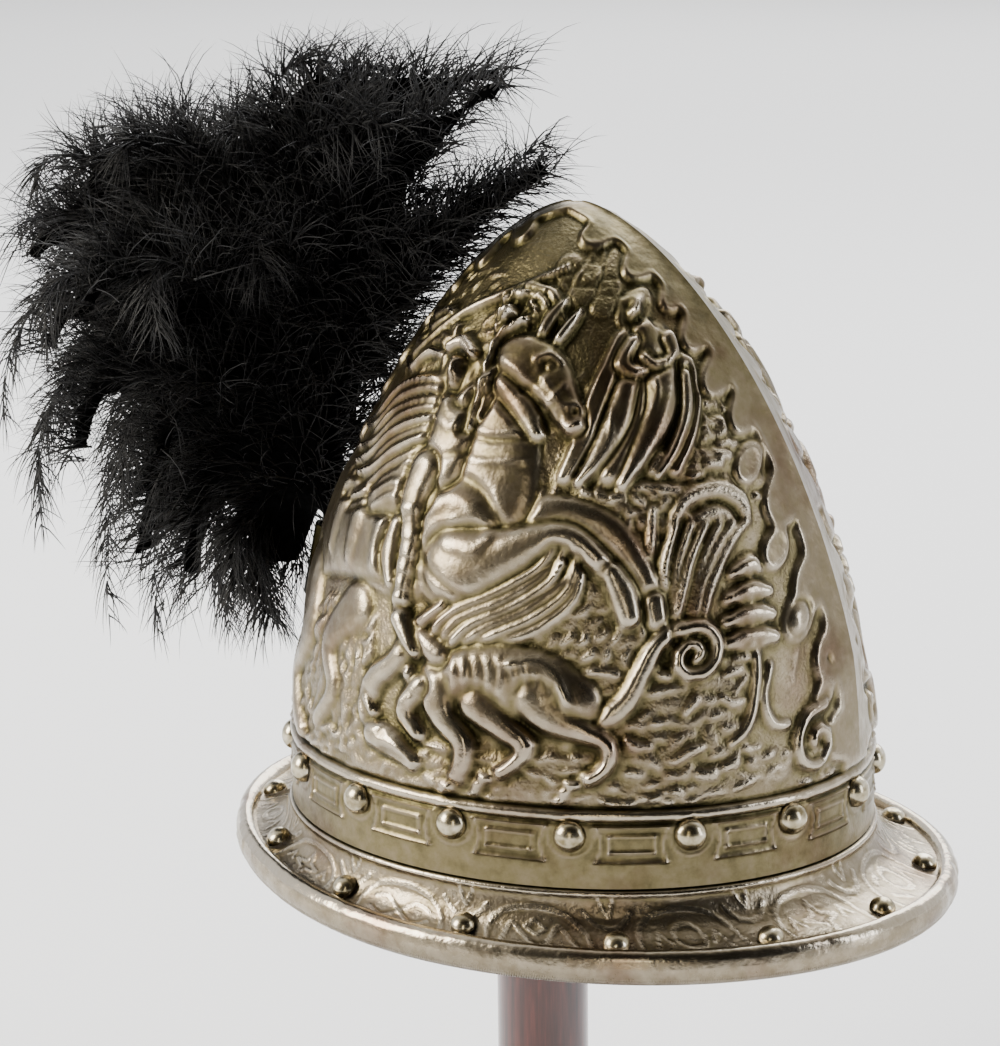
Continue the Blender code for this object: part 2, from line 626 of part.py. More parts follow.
def melted(meshes):
    """One skin round all the locks."""
    bm = bmesh.new()
    for mesh in meshes:
        bm.from_mesh(mesh)
    crowd = bpy.data.meshes.new("crowd")
    bm.to_mesh(crowd)
    bm.free()

    def melt(body):
        remesh = body.modifiers.new("melt", "REMESH")
        remesh.mode = "VOXEL"
        remesh.voxel_size = FEATHER_GRAIN

    return keep_outer_skin(finished(crowd, melt))


def thinned(mesh):
    """The same body in about FEATHER_FACES triangles."""
    def thin(body):
        fewer = body.modifiers.new("fewer", "DECIMATE")
        fewer.ratio = min(FEATHER_FACES / (2.0 * len(body.data.polygons)), 1.0)

    return finished(mesh, thin)


def joined(base, other_mesh):
    """The one body that two meshes make."""
    other = bpy.data.objects.new("other", other_mesh)
    bpy.context.scene.collection.objects.link(other)

    def unite(body):
        union = body.modifiers.new("union", "BOOLEAN")
        union.operation = "UNION"
        union.solver = "EXACT"
        union.object = other

    result = finished(base, unite)
    bpy.data.objects.remove(other, do_unlink=True)
    return result


def keep_outer_skin(mesh):
    """Drops the skins of hollows that the locks closed in, so that the body is solid."""
    bm = bmesh.new()
    bm.from_mesh(mesh)
    waiting = set(bm.verts)
    skins = []
    while waiting:
        front = [waiting.pop()]
        skin = set(front)
        while front:
            for edge in front.pop().link_edges:
                fresh = [vertex for vertex in edge.verts if vertex in waiting]
                waiting.difference_update(fresh)
                skin.update(fresh)
                front.extend(fresh)
        skins.append(skin)
    skins.sort(key=len)
    inner = [vertex for skin in skins[:-1] for vertex in skin]
    bmesh.ops.delete(bm, geom=inner, context="VERTS")
    bm.to_mesh(mesh)
    bm.free()
    return mesh


def make_plume(parent, feather):
    start, axis = socket_line()
    stem_radius = SOCKET_WIDTH / 2.0 - SOCKET_WALL - CLEARANCE
    neck = SOCKET_LENGTH + 2.0 * SOCKET_WALL
    profile = [
        (0.0, SOCKET_REST),
        (stem_radius, SOCKET_REST),
        (stem_radius, neck),
        (stem_radius + SOCKET_WALL, neck + stem_radius),
        (stem_radius + SOCKET_WALL, neck + 3.0 * stem_radius),
        (0.0, neck + 4.0 * stem_radius),
    ]
    stem = turned("plume", profile, SOCKET_SIDES)
    stem.transform(aimed(start, axis))
    root = start + axis * (neck + 1.5 * stem_radius)
    feathers = thinned(melted([lock_mesh(root, lock) for lock in LOCKS]))
    bm = bmesh.new()
    bm.from_mesh(joined(stem, feathers))
    bmesh.ops.translate(bm, verts=bm.verts, vec=FOOT)
    return add_object("plume", mesh_from(bm, "plume"), feather, parent)


def make_stand(parent, wood):
    rim = BASE_EDGE
    base_half = BASE_WIDTH / 2.0
    edge = [(base_half - rim + rim * math.sin(turn), BASE_HEIGHT - rim + rim * math.cos(turn))
            for turn in (0.0, math.pi / 6.0, math.pi / 3.0, math.pi / 2.0)]
    profile = [(0.0, BASE_HEIGHT)] + edge + [(base_half, 0.0), (0.0, 0.0)]
    add_object("stand_base", turned("stand_base", profile, BASE_SIDES), wood, parent)

    rings = even_shares(HOLLOW_ROWS)[HOLLOW_ROWS - 2:HOLLOW_ROWS]
    inset = SKULL_WALL + CLEARANCE
    under = STAND_HEIGHT + wall_point(0.0, float(rings[0]), inset).z
    foot_level = BASE_HEIGHT + CLEARANCE
    post_half = POST_WIDTH / 2.0
    profile = [(0.0, under - CLEARANCE), (post_half, under - CLEARANCE), (post_half, foot_level),
               (0.0, foot_level)]
    add_object("stand_post", turned("stand_post", profile, POST_SIDES), wood, parent)

    bm = bmesh.new()
    loops = []
    for share in rings:
        points = []
        for column in range(0, SKULL_COLUMNS, 2):
            angle = 2.0 * math.pi * column / SKULL_COLUMNS
            points.append(bm.verts.new(FOOT + wall_point(angle, float(share), inset)))
        loops.append([bm.edges.new((points[i - 1], points[i])) for i in range(len(points))])
    bmesh.ops.bridge_loops(bm, edges=loops[0] + loops[1])
    bmesh.ops.holes_fill(bm, edges=[edge for edge in bm.edges if edge.is_boundary], sides=0)
    add_object("stand_head", mesh_from(bm, "stand_head"), wood, parent)


def build():
    clear_scene()
    holder = bpy.data.objects.new("cabasset", None)
    bpy.context.scene.collection.objects.link(holder)
    metal = principled("nickel_silver", (0.42, 0.38, 0.28), 1.0, 0.30)
    rivet_metal = principled("rivet_metal", (0.50, 0.46, 0.36), 1.0, 0.24)
    feather = principled("black_feather", (0.012, 0.012, 0.013), 0.0, 0.75)
    wood = principled("stained_wood", (0.055, 0.020, 0.016), 0.0, 0.30)
    make_skull(holder, metal)
    make_brim(holder, metal)
    make_band_rivets(holder, rivet_metal)
    make_brim_rivets(holder, rivet_metal)
    make_socket(holder, metal)
    make_plume(holder, feather)
    make_stand(holder, wood)


build()
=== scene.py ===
# %% [markdown]
# # A pointed parade helmet with a black plume
#
# This lesson dresses a finished construction model in Blender: a cabasset cast in white brass, with
# raised figures on both sides, a riveted brim and an ostrich plume, on a turned wooden post.
# The construction model gives every size. Each step below makes one piece or one finish.
# Lengths are metres, +Z is up, +X is the front of the helmet, and the relief is drawn in millimetres.

# %% Load the construction model
import math
from collections import namedtuple

import bmesh
import bpy
import numpy as np
from mathutils import Matrix, Vector


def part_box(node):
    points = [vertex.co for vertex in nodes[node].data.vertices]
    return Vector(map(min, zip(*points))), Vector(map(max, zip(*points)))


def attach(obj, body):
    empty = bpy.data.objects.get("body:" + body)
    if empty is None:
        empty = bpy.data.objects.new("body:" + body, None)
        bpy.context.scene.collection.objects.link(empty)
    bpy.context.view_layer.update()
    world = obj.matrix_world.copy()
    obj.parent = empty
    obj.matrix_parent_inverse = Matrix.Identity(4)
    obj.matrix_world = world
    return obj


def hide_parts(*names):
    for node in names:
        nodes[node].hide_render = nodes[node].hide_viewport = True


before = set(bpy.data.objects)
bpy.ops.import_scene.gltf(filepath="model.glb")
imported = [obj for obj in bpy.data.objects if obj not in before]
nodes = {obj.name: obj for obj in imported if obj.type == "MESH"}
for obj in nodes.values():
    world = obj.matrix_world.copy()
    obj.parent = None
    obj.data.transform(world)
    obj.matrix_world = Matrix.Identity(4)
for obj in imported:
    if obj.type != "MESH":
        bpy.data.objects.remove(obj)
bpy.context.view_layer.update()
MM = 0.001
print("pieces in the model:", len(nodes))

# %% [markdown]
# ## Camera
#
# The picture looks at the helmet's right side, a third of the way round to the front and a little
# from above. A long lens keeps the sides of the bowl nearly parallel. A camera could be turned by an
# empty and a constraint, but here its matrix is built from the viewing direction, so every number
# in it can be read.

# %% Place the camera
SKULL_LOW, SKULL_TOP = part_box("skull")
HELMET_AHEAD = 0.0170
FOOT = np.array((HELMET_AHEAD, 0.0, SKULL_LOW.z))
AIM_HEIGHT = 0.100
VIEW_AROUND = math.radians(29.3)
VIEW_ABOVE = math.radians(14.35)
VIEW_ROLL = math.radians(-0.65)
VIEW_DISTANCE = 1.189
PICTURE_WIDTH, PICTURE_HEIGHT = 1000.0, 1046.0
PIXELS_PER_MM = 2.618
AIM_PIXEL = (578.35, 545.3)
SENSOR = 36.0


def aim_camera():
    """A camera that puts the middle of the bowl on AIM_PIXEL of the picture."""
    back = Vector((
        math.sin(VIEW_AROUND) * math.cos(VIEW_ABOVE),
        -math.cos(VIEW_AROUND) * math.cos(VIEW_ABOVE),
        math.sin(VIEW_ABOVE),
    ))
    right = Vector((math.cos(VIEW_AROUND), math.sin(VIEW_AROUND), 0.0))
    up = back.cross(right)
    turned_right = right * math.cos(VIEW_ROLL) + up * math.sin(VIEW_ROLL)
    turned_up = up * math.cos(VIEW_ROLL) - right * math.sin(VIEW_ROLL)
    data = bpy.data.cameras.new("camera")
    data.sensor_fit = "VERTICAL"
    data.sensor_height = SENSOR
    data.lens = PIXELS_PER_MM * VIEW_DISTANCE / MM * SENSOR / PICTURE_HEIGHT
    data.clip_end = 100.0
    camera = bpy.data.objects.new("camera", data)
    bpy.context.scene.collection.objects.link(camera)
    aim = Vector(FOOT) + Vector((0.0, 0.0, AIM_HEIGHT))
    off_right = (AIM_PIXEL[0] - PICTURE_WIDTH / 2.0) / PIXELS_PER_MM * MM
    off_up = (PICTURE_HEIGHT / 2.0 - AIM_PIXEL[1]) / PIXELS_PER_MM * MM
    place = aim + back * VIEW_DISTANCE - turned_right * off_right - turned_up * off_up
    camera.matrix_world = Matrix((
        (turned_right.x, turned_up.x, back.x, place.x),
        (turned_right.y, turned_up.y, back.y, place.y),
        (turned_right.z, turned_up.z, back.z, place.z),
        (0.0, 0.0, 0.0, 1.0),
    ))
    bpy.context.scene.camera = camera
    return camera


camera = aim_camera()
print("lens, mm:", round(camera.data.lens, 1))

# %% [markdown]
# ## Helpers for colours and nodes
#
# Colours are written as people pick them, in sRGB hex, and one function turns them to the linear
# values that the shader wants. Another adds a node with its settings, its links and, for a colour
# ramp, its stops, so a material reads as a short list from pattern to surface.

# %% Colours and nodes


def linear(hex_colour):
    """An sRGB hex colour as linear RGBA."""
    channels = [int(hex_colour[i:i + 2], 16) / 255.0 for i in (1, 3, 5)]
    curve = [c / 12.92 if c <= 0.04045 else ((c + 0.055) / 1.055) ** 2.4 for c in channels]
    return (*curve, 1.0)


def new_material(name):
    material = bpy.data.materials.new(name)
    material.use_nodes = True
    return material, material.node_tree, material.node_tree.nodes["Principled BSDF"]


def add_node(tree, kind, settings=None, inputs=None, stops=()):
    """Adds a node. An input's value is a plain value, or the socket that feeds it.

    The stops of a colour ramp are pairs of a place and a hex colour or grey value.
    """
    node = tree.nodes.new(kind)
    for name, value in (settings or {}).items():
        setattr(node, name, value)
    for name, value in (inputs or {}).items():
        if isinstance(value, bpy.types.NodeSocket):
            tree.links.new(value, node.inputs[name])
        else:
            node.inputs[name].default_value = value
    if stops:
        elements = node.color_ramp.elements
        while len(elements) < len(stops):
            elements.new(0.5)
        for element, (place, colour) in zip(elements, stops):
            element.position = place
            element.color = linear(colour) if isinstance(colour, str) else (colour, colour, colour, 1.0)
    return node


print("channels of a mid grey:", [round(channel, 3) for channel in linear("#808080")])

# %% [markdown]
# ## Floor and light
#
# The real thing was photographed before a pale sweep of paper, lit softly from the left. Polished
# metal shows what is around it, so the light matters as much as the metal: a large bright panel on
# the left gives the long highlights, a smaller one on the right the thin edge light, and the room
# to the right of the camera is kept dim, so that the faces turned that way look dark and warm.

# %% Floor
FLOOR_RADIUS = 12.0
FLOOR_SIDES = 96


def make_floor():
    bm = bmesh.new()
    bmesh.ops.create_circle(bm, cap_ends=True, segments=FLOOR_SIDES, radius=FLOOR_RADIUS)
    mesh = bpy.data.meshes.new("floor")
    bm.to_mesh(mesh)
    bm.free()
    floor = bpy.data.objects.new("floor", mesh)
    bpy.context.scene.collection.objects.link(floor)
    paper, tree, shader = new_material("matt_white_paper")
    shader.inputs["Base Color"].default_value = linear("#f3f4f6")
    shader.inputs["Roughness"].default_value = 0.9
    shader.inputs["Specular IOR Level"].default_value = 0.2
    mesh.materials.append(paper)


make_floor()
print("floor, m across:", 2.0 * FLOOR_RADIUS)

# %% Lights
Panel = namedtuple("Panel", "name place width height power colour")
PANELS = (
    Panel("window", (-1.9, -1.7, 1.5), 1.2, 1.5, 125.0, "#fff8ea"),
    Panel("side", (2.6, 0.3, 0.9), 0.5, 1.8, 30.0, "#f2f6ff"),
    Panel("overhead", (-0.6, 1.6, 2.6), 2.6, 1.6, 90.0, "#ffffff"),
    Panel("backdrop", (-1.0, 5.5, 3.2), 6.0, 2.0, 300.0, "#fbfaf8"),
    Panel("low_front", (0.9, -2.3, 0.7), 0.25, 1.4, 7.0, "#fff4dc"),
)
DARK_SIDE = (0.56, -0.73, 0.39)
DARK_FROM, DARK_TO = -0.4, 0.9
WORLD_STRENGTH = 2.1


def make_lights():
    aim = Vector(FOOT) + Vector((0.0, 0.0, AIM_HEIGHT))
    for panel in PANELS:
        data = bpy.data.lights.new(panel.name, "AREA")
        data.shape = "RECTANGLE"
        data.size = panel.width
        data.size_y = panel.height
        data.energy = panel.power
        data.color = linear(panel.colour)[:3]
        lamp = bpy.data.objects.new(panel.name, data)
        lamp.location = panel.place
        lamp.rotation_euler = (aim - Vector(panel.place)).to_track_quat("-Z", "Y").to_euler()
        bpy.context.scene.collection.objects.link(lamp)


def make_world():
    """A studio room: pale above and behind the helmet, dim and warm toward DARK_SIDE."""
    world = bpy.data.worlds.new("studio")
    world.use_nodes = True
    tree = world.node_tree
    background = tree.nodes["Background"]
    place = add_node(tree, "ShaderNodeTexCoord")
    toward = add_node(tree, "ShaderNodeVectorMath", {"operation": "DOT_PRODUCT"},
                      {0: place.outputs["Generated"], 1: DARK_SIDE})
    shade = add_node(tree, "ShaderNodeMapRange", {}, {
        "Value": toward.outputs["Value"], "From Min": DARK_FROM, "From Max": DARK_TO})
    colour = add_node(tree, "ShaderNodeValToRGB", {}, {"Fac": shade.outputs["Result"]}, (
        (0.0, "#e2e4e9"), (0.56, "#bebcb7"), (0.72, "#6b675d"), (0.88, "#272520"), (1.0, "#141310")))
    tree.links.new(colour.outputs["Color"], background.inputs["Color"])
    background.inputs["Strength"].default_value = WORLD_STRENGTH
    bpy.context.scene.world = world


make_lights()
make_world()
print("panels:", [panel.name for panel in PANELS])

# %% [markdown]
# ## The bowl's form
#
# The bowl is an almond standing on its broad end: its half width follows one curve from the foot to
# the point. The same curve is used for the wall, for the length along the side, and for laying a
# flat drawing on the side without stretching it. The drawing's s runs forwards from the middle of
# the side and m upwards from the band, both along the metal and in millimetres.

# %% Sizes and the bowl's curve
SKULL_LENGTH = 0.2325
SKULL_WIDTH = 0.1995
SKULL_HEIGHT = SKULL_TOP.z - SKULL_LOW.z
SKULL_WALL = 0.0016
SHOULDER_POWER = 1.90
POINT_POWER = 0.66
BAND_HEIGHT = 0.0245
RIDGE_HEIGHT = 0.0042
RIDGE_SPREAD = 0.13
RIDGE_FADE = 0.20
MEAN_RADIUS = (SKULL_LENGTH + SKULL_WIDTH) / 4.0


def bowl_share(height):
    """Half width of the bowl at a share of its height, as a share of its half width at the foot."""
    return (1.0 - np.clip(height, 0.0, 1.0) ** SHOULDER_POWER) ** POINT_POWER


FINE_SHARES = 1.0 - (1.0 - np.linspace(0.0, 1.0, 2001)) ** 2
SIDE_STEPS = np.hypot(np.diff(FINE_SHARES) * SKULL_HEIGHT, np.diff(bowl_share(FINE_SHARES)) * MEAN_RADIUS)
SIDE_LINE = np.concatenate(([0.0], np.cumsum(SIDE_STEPS)))
FIELD_START = float(np.interp(BAND_HEIGHT / SKULL_HEIGHT, FINE_SHARES, SIDE_LINE))


def wall(angle, height, inset=0.0):
    """Points on the bowl's plain wall, for arrays of angles and shares of its height."""
    width = bowl_share(height)
    return np.stack((
        (SKULL_LENGTH / 2.0 - inset) * width * np.cos(angle),
        (SKULL_WIDTH / 2.0 - inset) * width * np.sin(angle),
        (SKULL_HEIGHT - 2.0 * inset) * height,
    ), axis=-1)


def unit(vectors):
    return vectors / np.maximum(np.linalg.norm(vectors, axis=-1, keepdims=True), 1e-12)


def wall_normal(angle, height):
    step = 0.001
    around = wall(angle + step, height) - wall(angle - step, height)
    upward = wall(angle, height + step) - wall(angle, height - step)
    return unit(np.cross(around, upward))


def ridge(angle, height):
    """How far the medial ridge stands out, front and back, fading out above the band."""
    turn = np.abs(np.remainder(angle + math.pi / 2.0, math.pi) - math.pi / 2.0)
    fade = np.clip((height - BAND_HEIGHT / SKULL_HEIGHT) / RIDGE_FADE, 0.0, 1.0)
    return RIDGE_HEIGHT * np.exp(-turn / RIDGE_SPREAD) * fade * bowl_share(height) ** 0.5


print("length of the side, mm:", round(SIDE_LINE[-1] / MM, 1))

# %% [markdown]
# ## A toolbox for relief
#
# Cast relief can be sculpted by hand, or displaced by a painted picture. Here it is modelled the way
# a chaser thinks of it, in strokes: each stroke is a smooth line of discs (s, m, radius) that swells
# and tapers. Laid from back to front, a form digs a narrow moat into what is behind it, and that
# dark line is what makes the figure stand off the ground.

# %% Strokes on the unrolled side
MOAT = 2.2
FULLNESS = 2.5
LINE_STEP = 3.0
THINNEST = 0.3
STREW_BEND = 35.0


class Relief:
    """Heights in millimetres over flat coordinates s and m, built up stroke by stroke."""

    def __init__(self, s, m):
        self.s = s
        self.m = m
        self.high = np.zeros_like(s)
        self.rough = np.ones_like(s)
        self.texture = 0.0

    def reach(self, points):
        """Which points a stroke comes near, and their share of its radius and distance past it."""
        line = smooth_line(points)
        margin = line[:, 2].max() + MOAT
        near = ((self.s > line[:, 0].min() - margin) & (self.s < line[:, 0].max() + margin)
                & (self.m > line[:, 1].min() - margin) & (self.m < line[:, 1].max() + margin))
        s, m = self.s[near], self.m[near]
        share = np.full(s.shape, 9.0)
        past = np.full(s.shape, 99.0)
        for a, b in zip(line, line[1:]):
            run = b[:2] - a[:2]
            length = max(float(run @ run), 1e-9)
            t = np.clip(((s - a[0]) * run[0] + (m - a[1]) * run[1]) / length, 0.0, 1.0)
            away = np.hypot(s - a[0] - t * run[0], m - a[1] - t * run[1])
            radius = a[2] + t * (b[2] - a[2])
            share = np.minimum(share, away / radius)
            past = np.minimum(past, away - radius)
        return near, share, past

    def form(self, high, *points, flat=0.0, dig=0.6):
        """Raises a rounded form, or with flat a level-topped one, out of a moat that it digs."""
        near, share, past = self.reach(points)
        below = self.high[near]
        moat = np.clip(1.0 - np.maximum(past, 0.0) / MOAT, 0.0, 1.0)
        below = below * (1.0 - dig * moat ** 2)
        inside = np.clip(1.0 - share, 0.0, 1.0)
        if flat > 0.0:
            top = np.clip(inside / flat, 0.0, 1.0)
            top = top * top * (3.0 - 2.0 * top)
        else:
            top = np.sqrt(1.0 - (1.0 - inside) ** FULLNESS)
        self.high[near] = np.where(share < 1.0, np.maximum(below, high * top), below)
        self.rough[near] = np.where(share < 1.0, self.texture, self.rough[near])

    def line(self, high, *points):
        """Adds a raised line, or with a negative height an engraved one, to what is there."""
        near, share, _ = self.reach(points)
        inside = np.clip(1.0 - share ** 2, 0.0, 1.0)
        self.high[near] += high * inside

    def fan(self, draw, high, first, last, count, lean=0.0):
        """Draws count strokes in between two strokes that have the same number of points."""
        first, last = np.array(first, float), np.array(last, float)
        for index in range(count):
            share = index / max(count - 1, 1)
            line = first + (last - first) * share
            wave = lean * math.sin(2.4 * index)
            line = line + np.array((wave, wave, 0.0)) * np.linspace(0.0, 1.0, len(line))[:, None]
            draw(high * (1.0 - 0.15 * (index % 2)), *line)

    def strew(self, draw, high, box, count, length, turn, spread, radius, seed):
        """Strews short strokes in a box (low s, low m, high s, high m), about one direction."""
        chance = np.random.RandomState(seed)
        for _ in range(count):
            s = chance.uniform(box[0], box[2])
            m = chance.uniform(box[1], box[3])
            angle = math.radians(turn + chance.uniform(-spread, spread))
            bend = math.radians(chance.uniform(-STREW_BEND, STREW_BEND))
            half = length * chance.uniform(0.35, 0.65)
            start = (s - half * math.cos(angle - bend), m - half * math.sin(angle - bend), radius * 0.5)
            end = (s + half * math.cos(angle + bend), m + half * math.sin(angle + bend), radius * 0.4)
            draw(high * chance.uniform(0.5, 1.0), start, (s, m, radius), end)


def smooth_line(points):
    """A Catmull-Rom curve through (s, m, radius) points, in steps of about LINE_STEP."""
    points = np.array(points, float)
    if len(points) == 1:
        return np.vstack((points, points + (0.01, 0.0, 0.0)))
    ends = np.vstack((2.0 * points[0] - points[1], points, 2.0 * points[-1] - points[-2]))
    ends[0, 2], ends[-1, 2] = points[0, 2], points[-1, 2]
    line = []
    for p0, p1, p2, p3 in zip(ends, ends[1:], ends[2:], ends[3:]):
        steps = max(int(np.hypot(*(p2 - p1)[:2]) / LINE_STEP), 1)
        for t in np.arange(steps) / steps:
            line.append(0.5 * (2.0 * p1 + (p2 - p0) * t + (2.0 * p0 - 5.0 * p1 + 4.0 * p2 - p3) * t ** 2
                               + (3.0 * p1 - p0 - 3.0 * p2 + p3) * t ** 3))
    line.append(points[-1])
    line = np.array(line)
    line[:, 2] = np.maximum(line[:, 2], THINNEST)
    return line


def scroll(s, m, radius, thick, start, turns):
    """Points of a volute that winds inwards from its outer end."""
    share = np.linspace(0.0, 1.0, max(int(9 * abs(turns)), 5))
    angle = math.radians(start) + 2.0 * math.pi * turns * share
    reach = radius * (1.0 - 0.86 * share)
    return [(s + r * math.cos(a), m + r * math.sin(a), thick * (1.0 - 0.45 * t))
            for r, a, t in zip(reach, angle, share)]


def preview(title, *draws):
    """Draws on a coarse flat sheet, and prints how much of it is raised and how high."""
    sheet = Relief(*np.meshgrid(np.arange(-150.0, 151.0, 2.0), np.arange(0.0, 241.0, 2.0)))
    for draw in draws:
        draw(sheet)
    raised = round(float((sheet.high > THINNEST).mean()) * 100.0)
    print(title, "cover", raised, "% of the sheet, up to", round(float(sheet.high.max()), 1), "mm high")


# %% [markdown]
# ## The picture on each side
#
# The subject is a traditional one for parade armour: a mounted knight rides over a dragon with a
# curled tail, while a figure in a long robe stands on a cliff between a castle, falling water and a
# tree. The hidden ground comes first and the nearest limbs last. Faces are small and plain. The
# numbers of a stroke are its points (s, m, radius). A short table or a fan repeats what repeats.

# %% Ground, castle and cliff
Scatter = namedtuple("Scatter", "high box count length turn spread radius seed")
GROUND = (
    Scatter(3.0, (-150, 5, 150, 24), 190, 10, 6, 20, 1.5, 3),
    Scatter(2.8, (-112, 14, -36, 62), 210, 8, 72, 35, 1.3, 5),
    Scatter(3.0, (46, 22, 104, 58), 80, 15, 10, 22, 2.2, 7),
    Scatter(3.2, (58, 16, 100, 34), 26, 10, 20, 40, 3.4, 8),
    Scatter(2.8, (14, 58, 62, 100), 120, 8, 62, 30, 1.5, 11),
    Scatter(1.4, (-140, 60, -96, 150), 60, 9, 70, 40, 1.4, 12),
    Scatter(1.3, (-60, 150, -8, 205), 60, 11, 30, 25, 1.4, 13),
    Scatter(1.2, (18, 110, 34, 160), 26, 9, 80, 25, 1.3, 14),
)


def draw_ground(r):
    """Grass, stones, brush and broken ground all over the field behind the figures."""
    r.form(1.6, (-40, 14, 12), (0, 12, 10), (40, 16, 12), (80, 18, 12), (120, 16, 8), flat=0.6)
    r.form(1.4, (44, 60, 16), (60, 40, 18), (96, 36, 16), flat=0.5)
    r.form(1.6, (-60, 40, 22), (-96, 40, 20), flat=0.5)
    r.form(1.5, (36, 98, 18), (56, 84, 14), flat=0.5)
    for row in GROUND:
        r.strew(r.form, *row)
    r.form(3.0, (-62, 58, 3), (-78, 50, 4), (-95, 42, 2))


def draw_castle(r):
    """A far castle, low and mostly engraved."""
    for s, low, top, half in ((10, 192, 208, 5), (27, 190, 212, 5), (18, 194, 203, 5)):
        r.form(1.1, (s, low, half), (s, top, half), flat=0.25)
        for rise in (4.0, 11.0):
            r.line(-0.7, (s - half, low + rise, 0.9), (s + half, low + rise, 0.9))
        for window in (-0.4, 0.4):
            r.line(-0.9, (s + window * half, low + 7.5, 1.2))
    r.line(0.8, (15, 202, 0.9), (18.5, 220, 0.9), (22, 202, 0.9), (15, 202, 0.9))


def draw_cliff(r):
    """The ledge under the figure, the layered rocks beside it and the falling water below."""
    r.form(2.4, (84, 164, 5), (96, 158, 7), (104, 152, 5), flat=0.5)
    r.form(2.6, (74, 150, 5), (92, 148, 7), (110, 140, 5), flat=0.5)
    r.form(2.8, (70, 138, 6), (90, 137, 7), (114, 130, 6), flat=0.5)
    r.form(3.0, (60, 128, 6), (84, 126, 7), (118, 118, 7), flat=0.5)
    r.form(2.8, (16, 116, 5), (34, 112, 6), (54, 116, 7), (72, 116, 6), flat=0.5)
    r.strew(r.form, 3.4, (70, 108, 122, 164), 120, 7, -12, 30, 1.6, 21)
    r.strew(r.form, 3.2, (16, 102, 66, 120), 60, 6, 10, 50, 1.7, 23)
    for m, bend in ((157, -4), (146, -5), (134, -6), (122, -7)):
        r.line(-1.4, (66, m - 2, 0.9), (84, m + 1, 1.3), (100, m, 1.3), (118, m + bend, 0.9))
    r.form(3.4, (68, 106, 2.6), (72, 115, 3.4), (84, 117, 3.6), (95, 112, 3.0), (99, 104, 2.2))
    r.form(2.6, (77, 106, 3.4), (84, 109, 3.6), (91, 105, 3.2))
    falls = (((69, 106, 1.8), (67, 92, 2.2), (68, 76, 2.0), (66, 62, 1.6)),
             ((98, 104, 1.8), (92, 98, 2.4), (86, 84, 2.4), (84, 70, 1.6)))
    r.fan(r.form, 3.4, *falls, 6, lean=1.6)
    r.form(2.6, (60, 112, 1.8), (61, 98, 2.2), (58, 84, 2.2), (60, 72, 1.6))
    r.form(2.6, (52, 108, 1.6), (54, 96, 2.0), (51, 84, 1.6))


preview("ground, castle and cliff", draw_ground, draw_castle, draw_cliff)

# %% Tree and figure


def draw_tree(r):
    """A clipped tree in tiers, on two crossing stems."""
    r.form(3.0, (106, 60, 2.2), (107, 45, 2.8), (104, 32, 2.6), (98, 27, 2.0))
    r.form(2.4, (113, 52, 1.8), (111, 40, 2.0), (116, 31, 2.0), (123, 30, 1.6))
    r.line(0.8, (126, 75, 1.2), (128, 60, 1.2), (125, 45, 1.0))
    for s, m, half, thick in ((104, 62, 11, 5), (103, 70, 10, 4.6), (102, 78, 9, 4.4), (101, 87, 7, 4.2)):
        r.form(3.4, (s - half, m, thick * 0.5), (s, m + 1.5, thick), (s + half, m, thick * 0.5))
        for part in (-0.5, 0.0, 0.5):
            r.line(-0.8, (s + half * (part - 0.3), m - 1.5, 0.9), (s + half * part, m + 0.5, 0.9),
                   (s + half * (part + 0.3), m - 1.0, 0.9))


def draw_figure(r):
    """A standing figure in a long robe and a cloak, on the ledge."""
    r.form(2.8, (37, 176, 4), (34, 156, 4.5), (32, 140, 4.5), (28, 124, 3.5), flat=0.5)
    r.form(3.0, (60, 172, 4), (68, 154, 5), (69, 138, 5), (66, 126, 3.5), flat=0.5)
    r.form(3.4, (48, 174, 9), (50, 156, 9.5), (46, 138, 9), (44, 126, 7), flat=0.7)
    r.form(4.4, (54, 164, 6.0), (57, 148, 6.4), (53, 134, 5.0), (48, 121, 2.4))
    r.form(3.9, (43, 158, 4.2), (42, 144, 5.2), (38, 131, 4.0), (33, 122, 2.0))
    r.form(4.0, (64, 160, 2.2), (67, 146, 3.0), (64, 132, 2.6), (60, 124, 1.4))
    for s, sway, high in ((50, 4, 0.7), (40, -2, 0.6), (59, 2, -0.6), (71, 1, 0.6), (33, -3, 0.6)):
        r.line(high, (s, 164, 0.9), (s + sway, 152, 1.2), (s - sway * 0.4, 138, 1.2), (s - 4, 124, 0.8))
    r.form(3.6, (44, 179, 4.0), (46, 174, 7.0), (48, 168, 8.5), dig=0.3)
    r.form(4.4, (41, 174, 3.0), (39, 166, 3.0), (45, 162, 2.4), (52, 166, 2.0), dig=0.4)
    r.form(4.4, (54, 175, 3.0), (58, 168, 2.8), (52, 164, 2.2), (46, 168, 1.8), dig=0.4)
    r.form(2.8, (39, 191, 6.6), (39, 187, 6.2), flat=0.4)
    r.form(4.2, (39, 189.5, 4.9), (39, 185.5, 3.9), flat=0.8)
    r.line(1.0, (32.5, 192, 1.2), (34, 183, 1.2), (39, 179.5, 1.2), (44, 183, 1.2), (45.5, 192, 1.2))
    for s in (36.9, 41.1):
        r.line(-1.3, (s, 188.4, 1.4))
    r.line(0.9, (39, 189.5, 0.9), (39, 186.4, 1.3))
    r.line(-1.6, (37.6, 183.9, 1.1), (40.4, 183.9, 1.1))
    r.line(1.2, (34.5, 191, 1.4), (39, 194, 1.6), (43.5, 191, 1.4))


preview("tree and figure", draw_tree, draw_figure)

# %% The horse


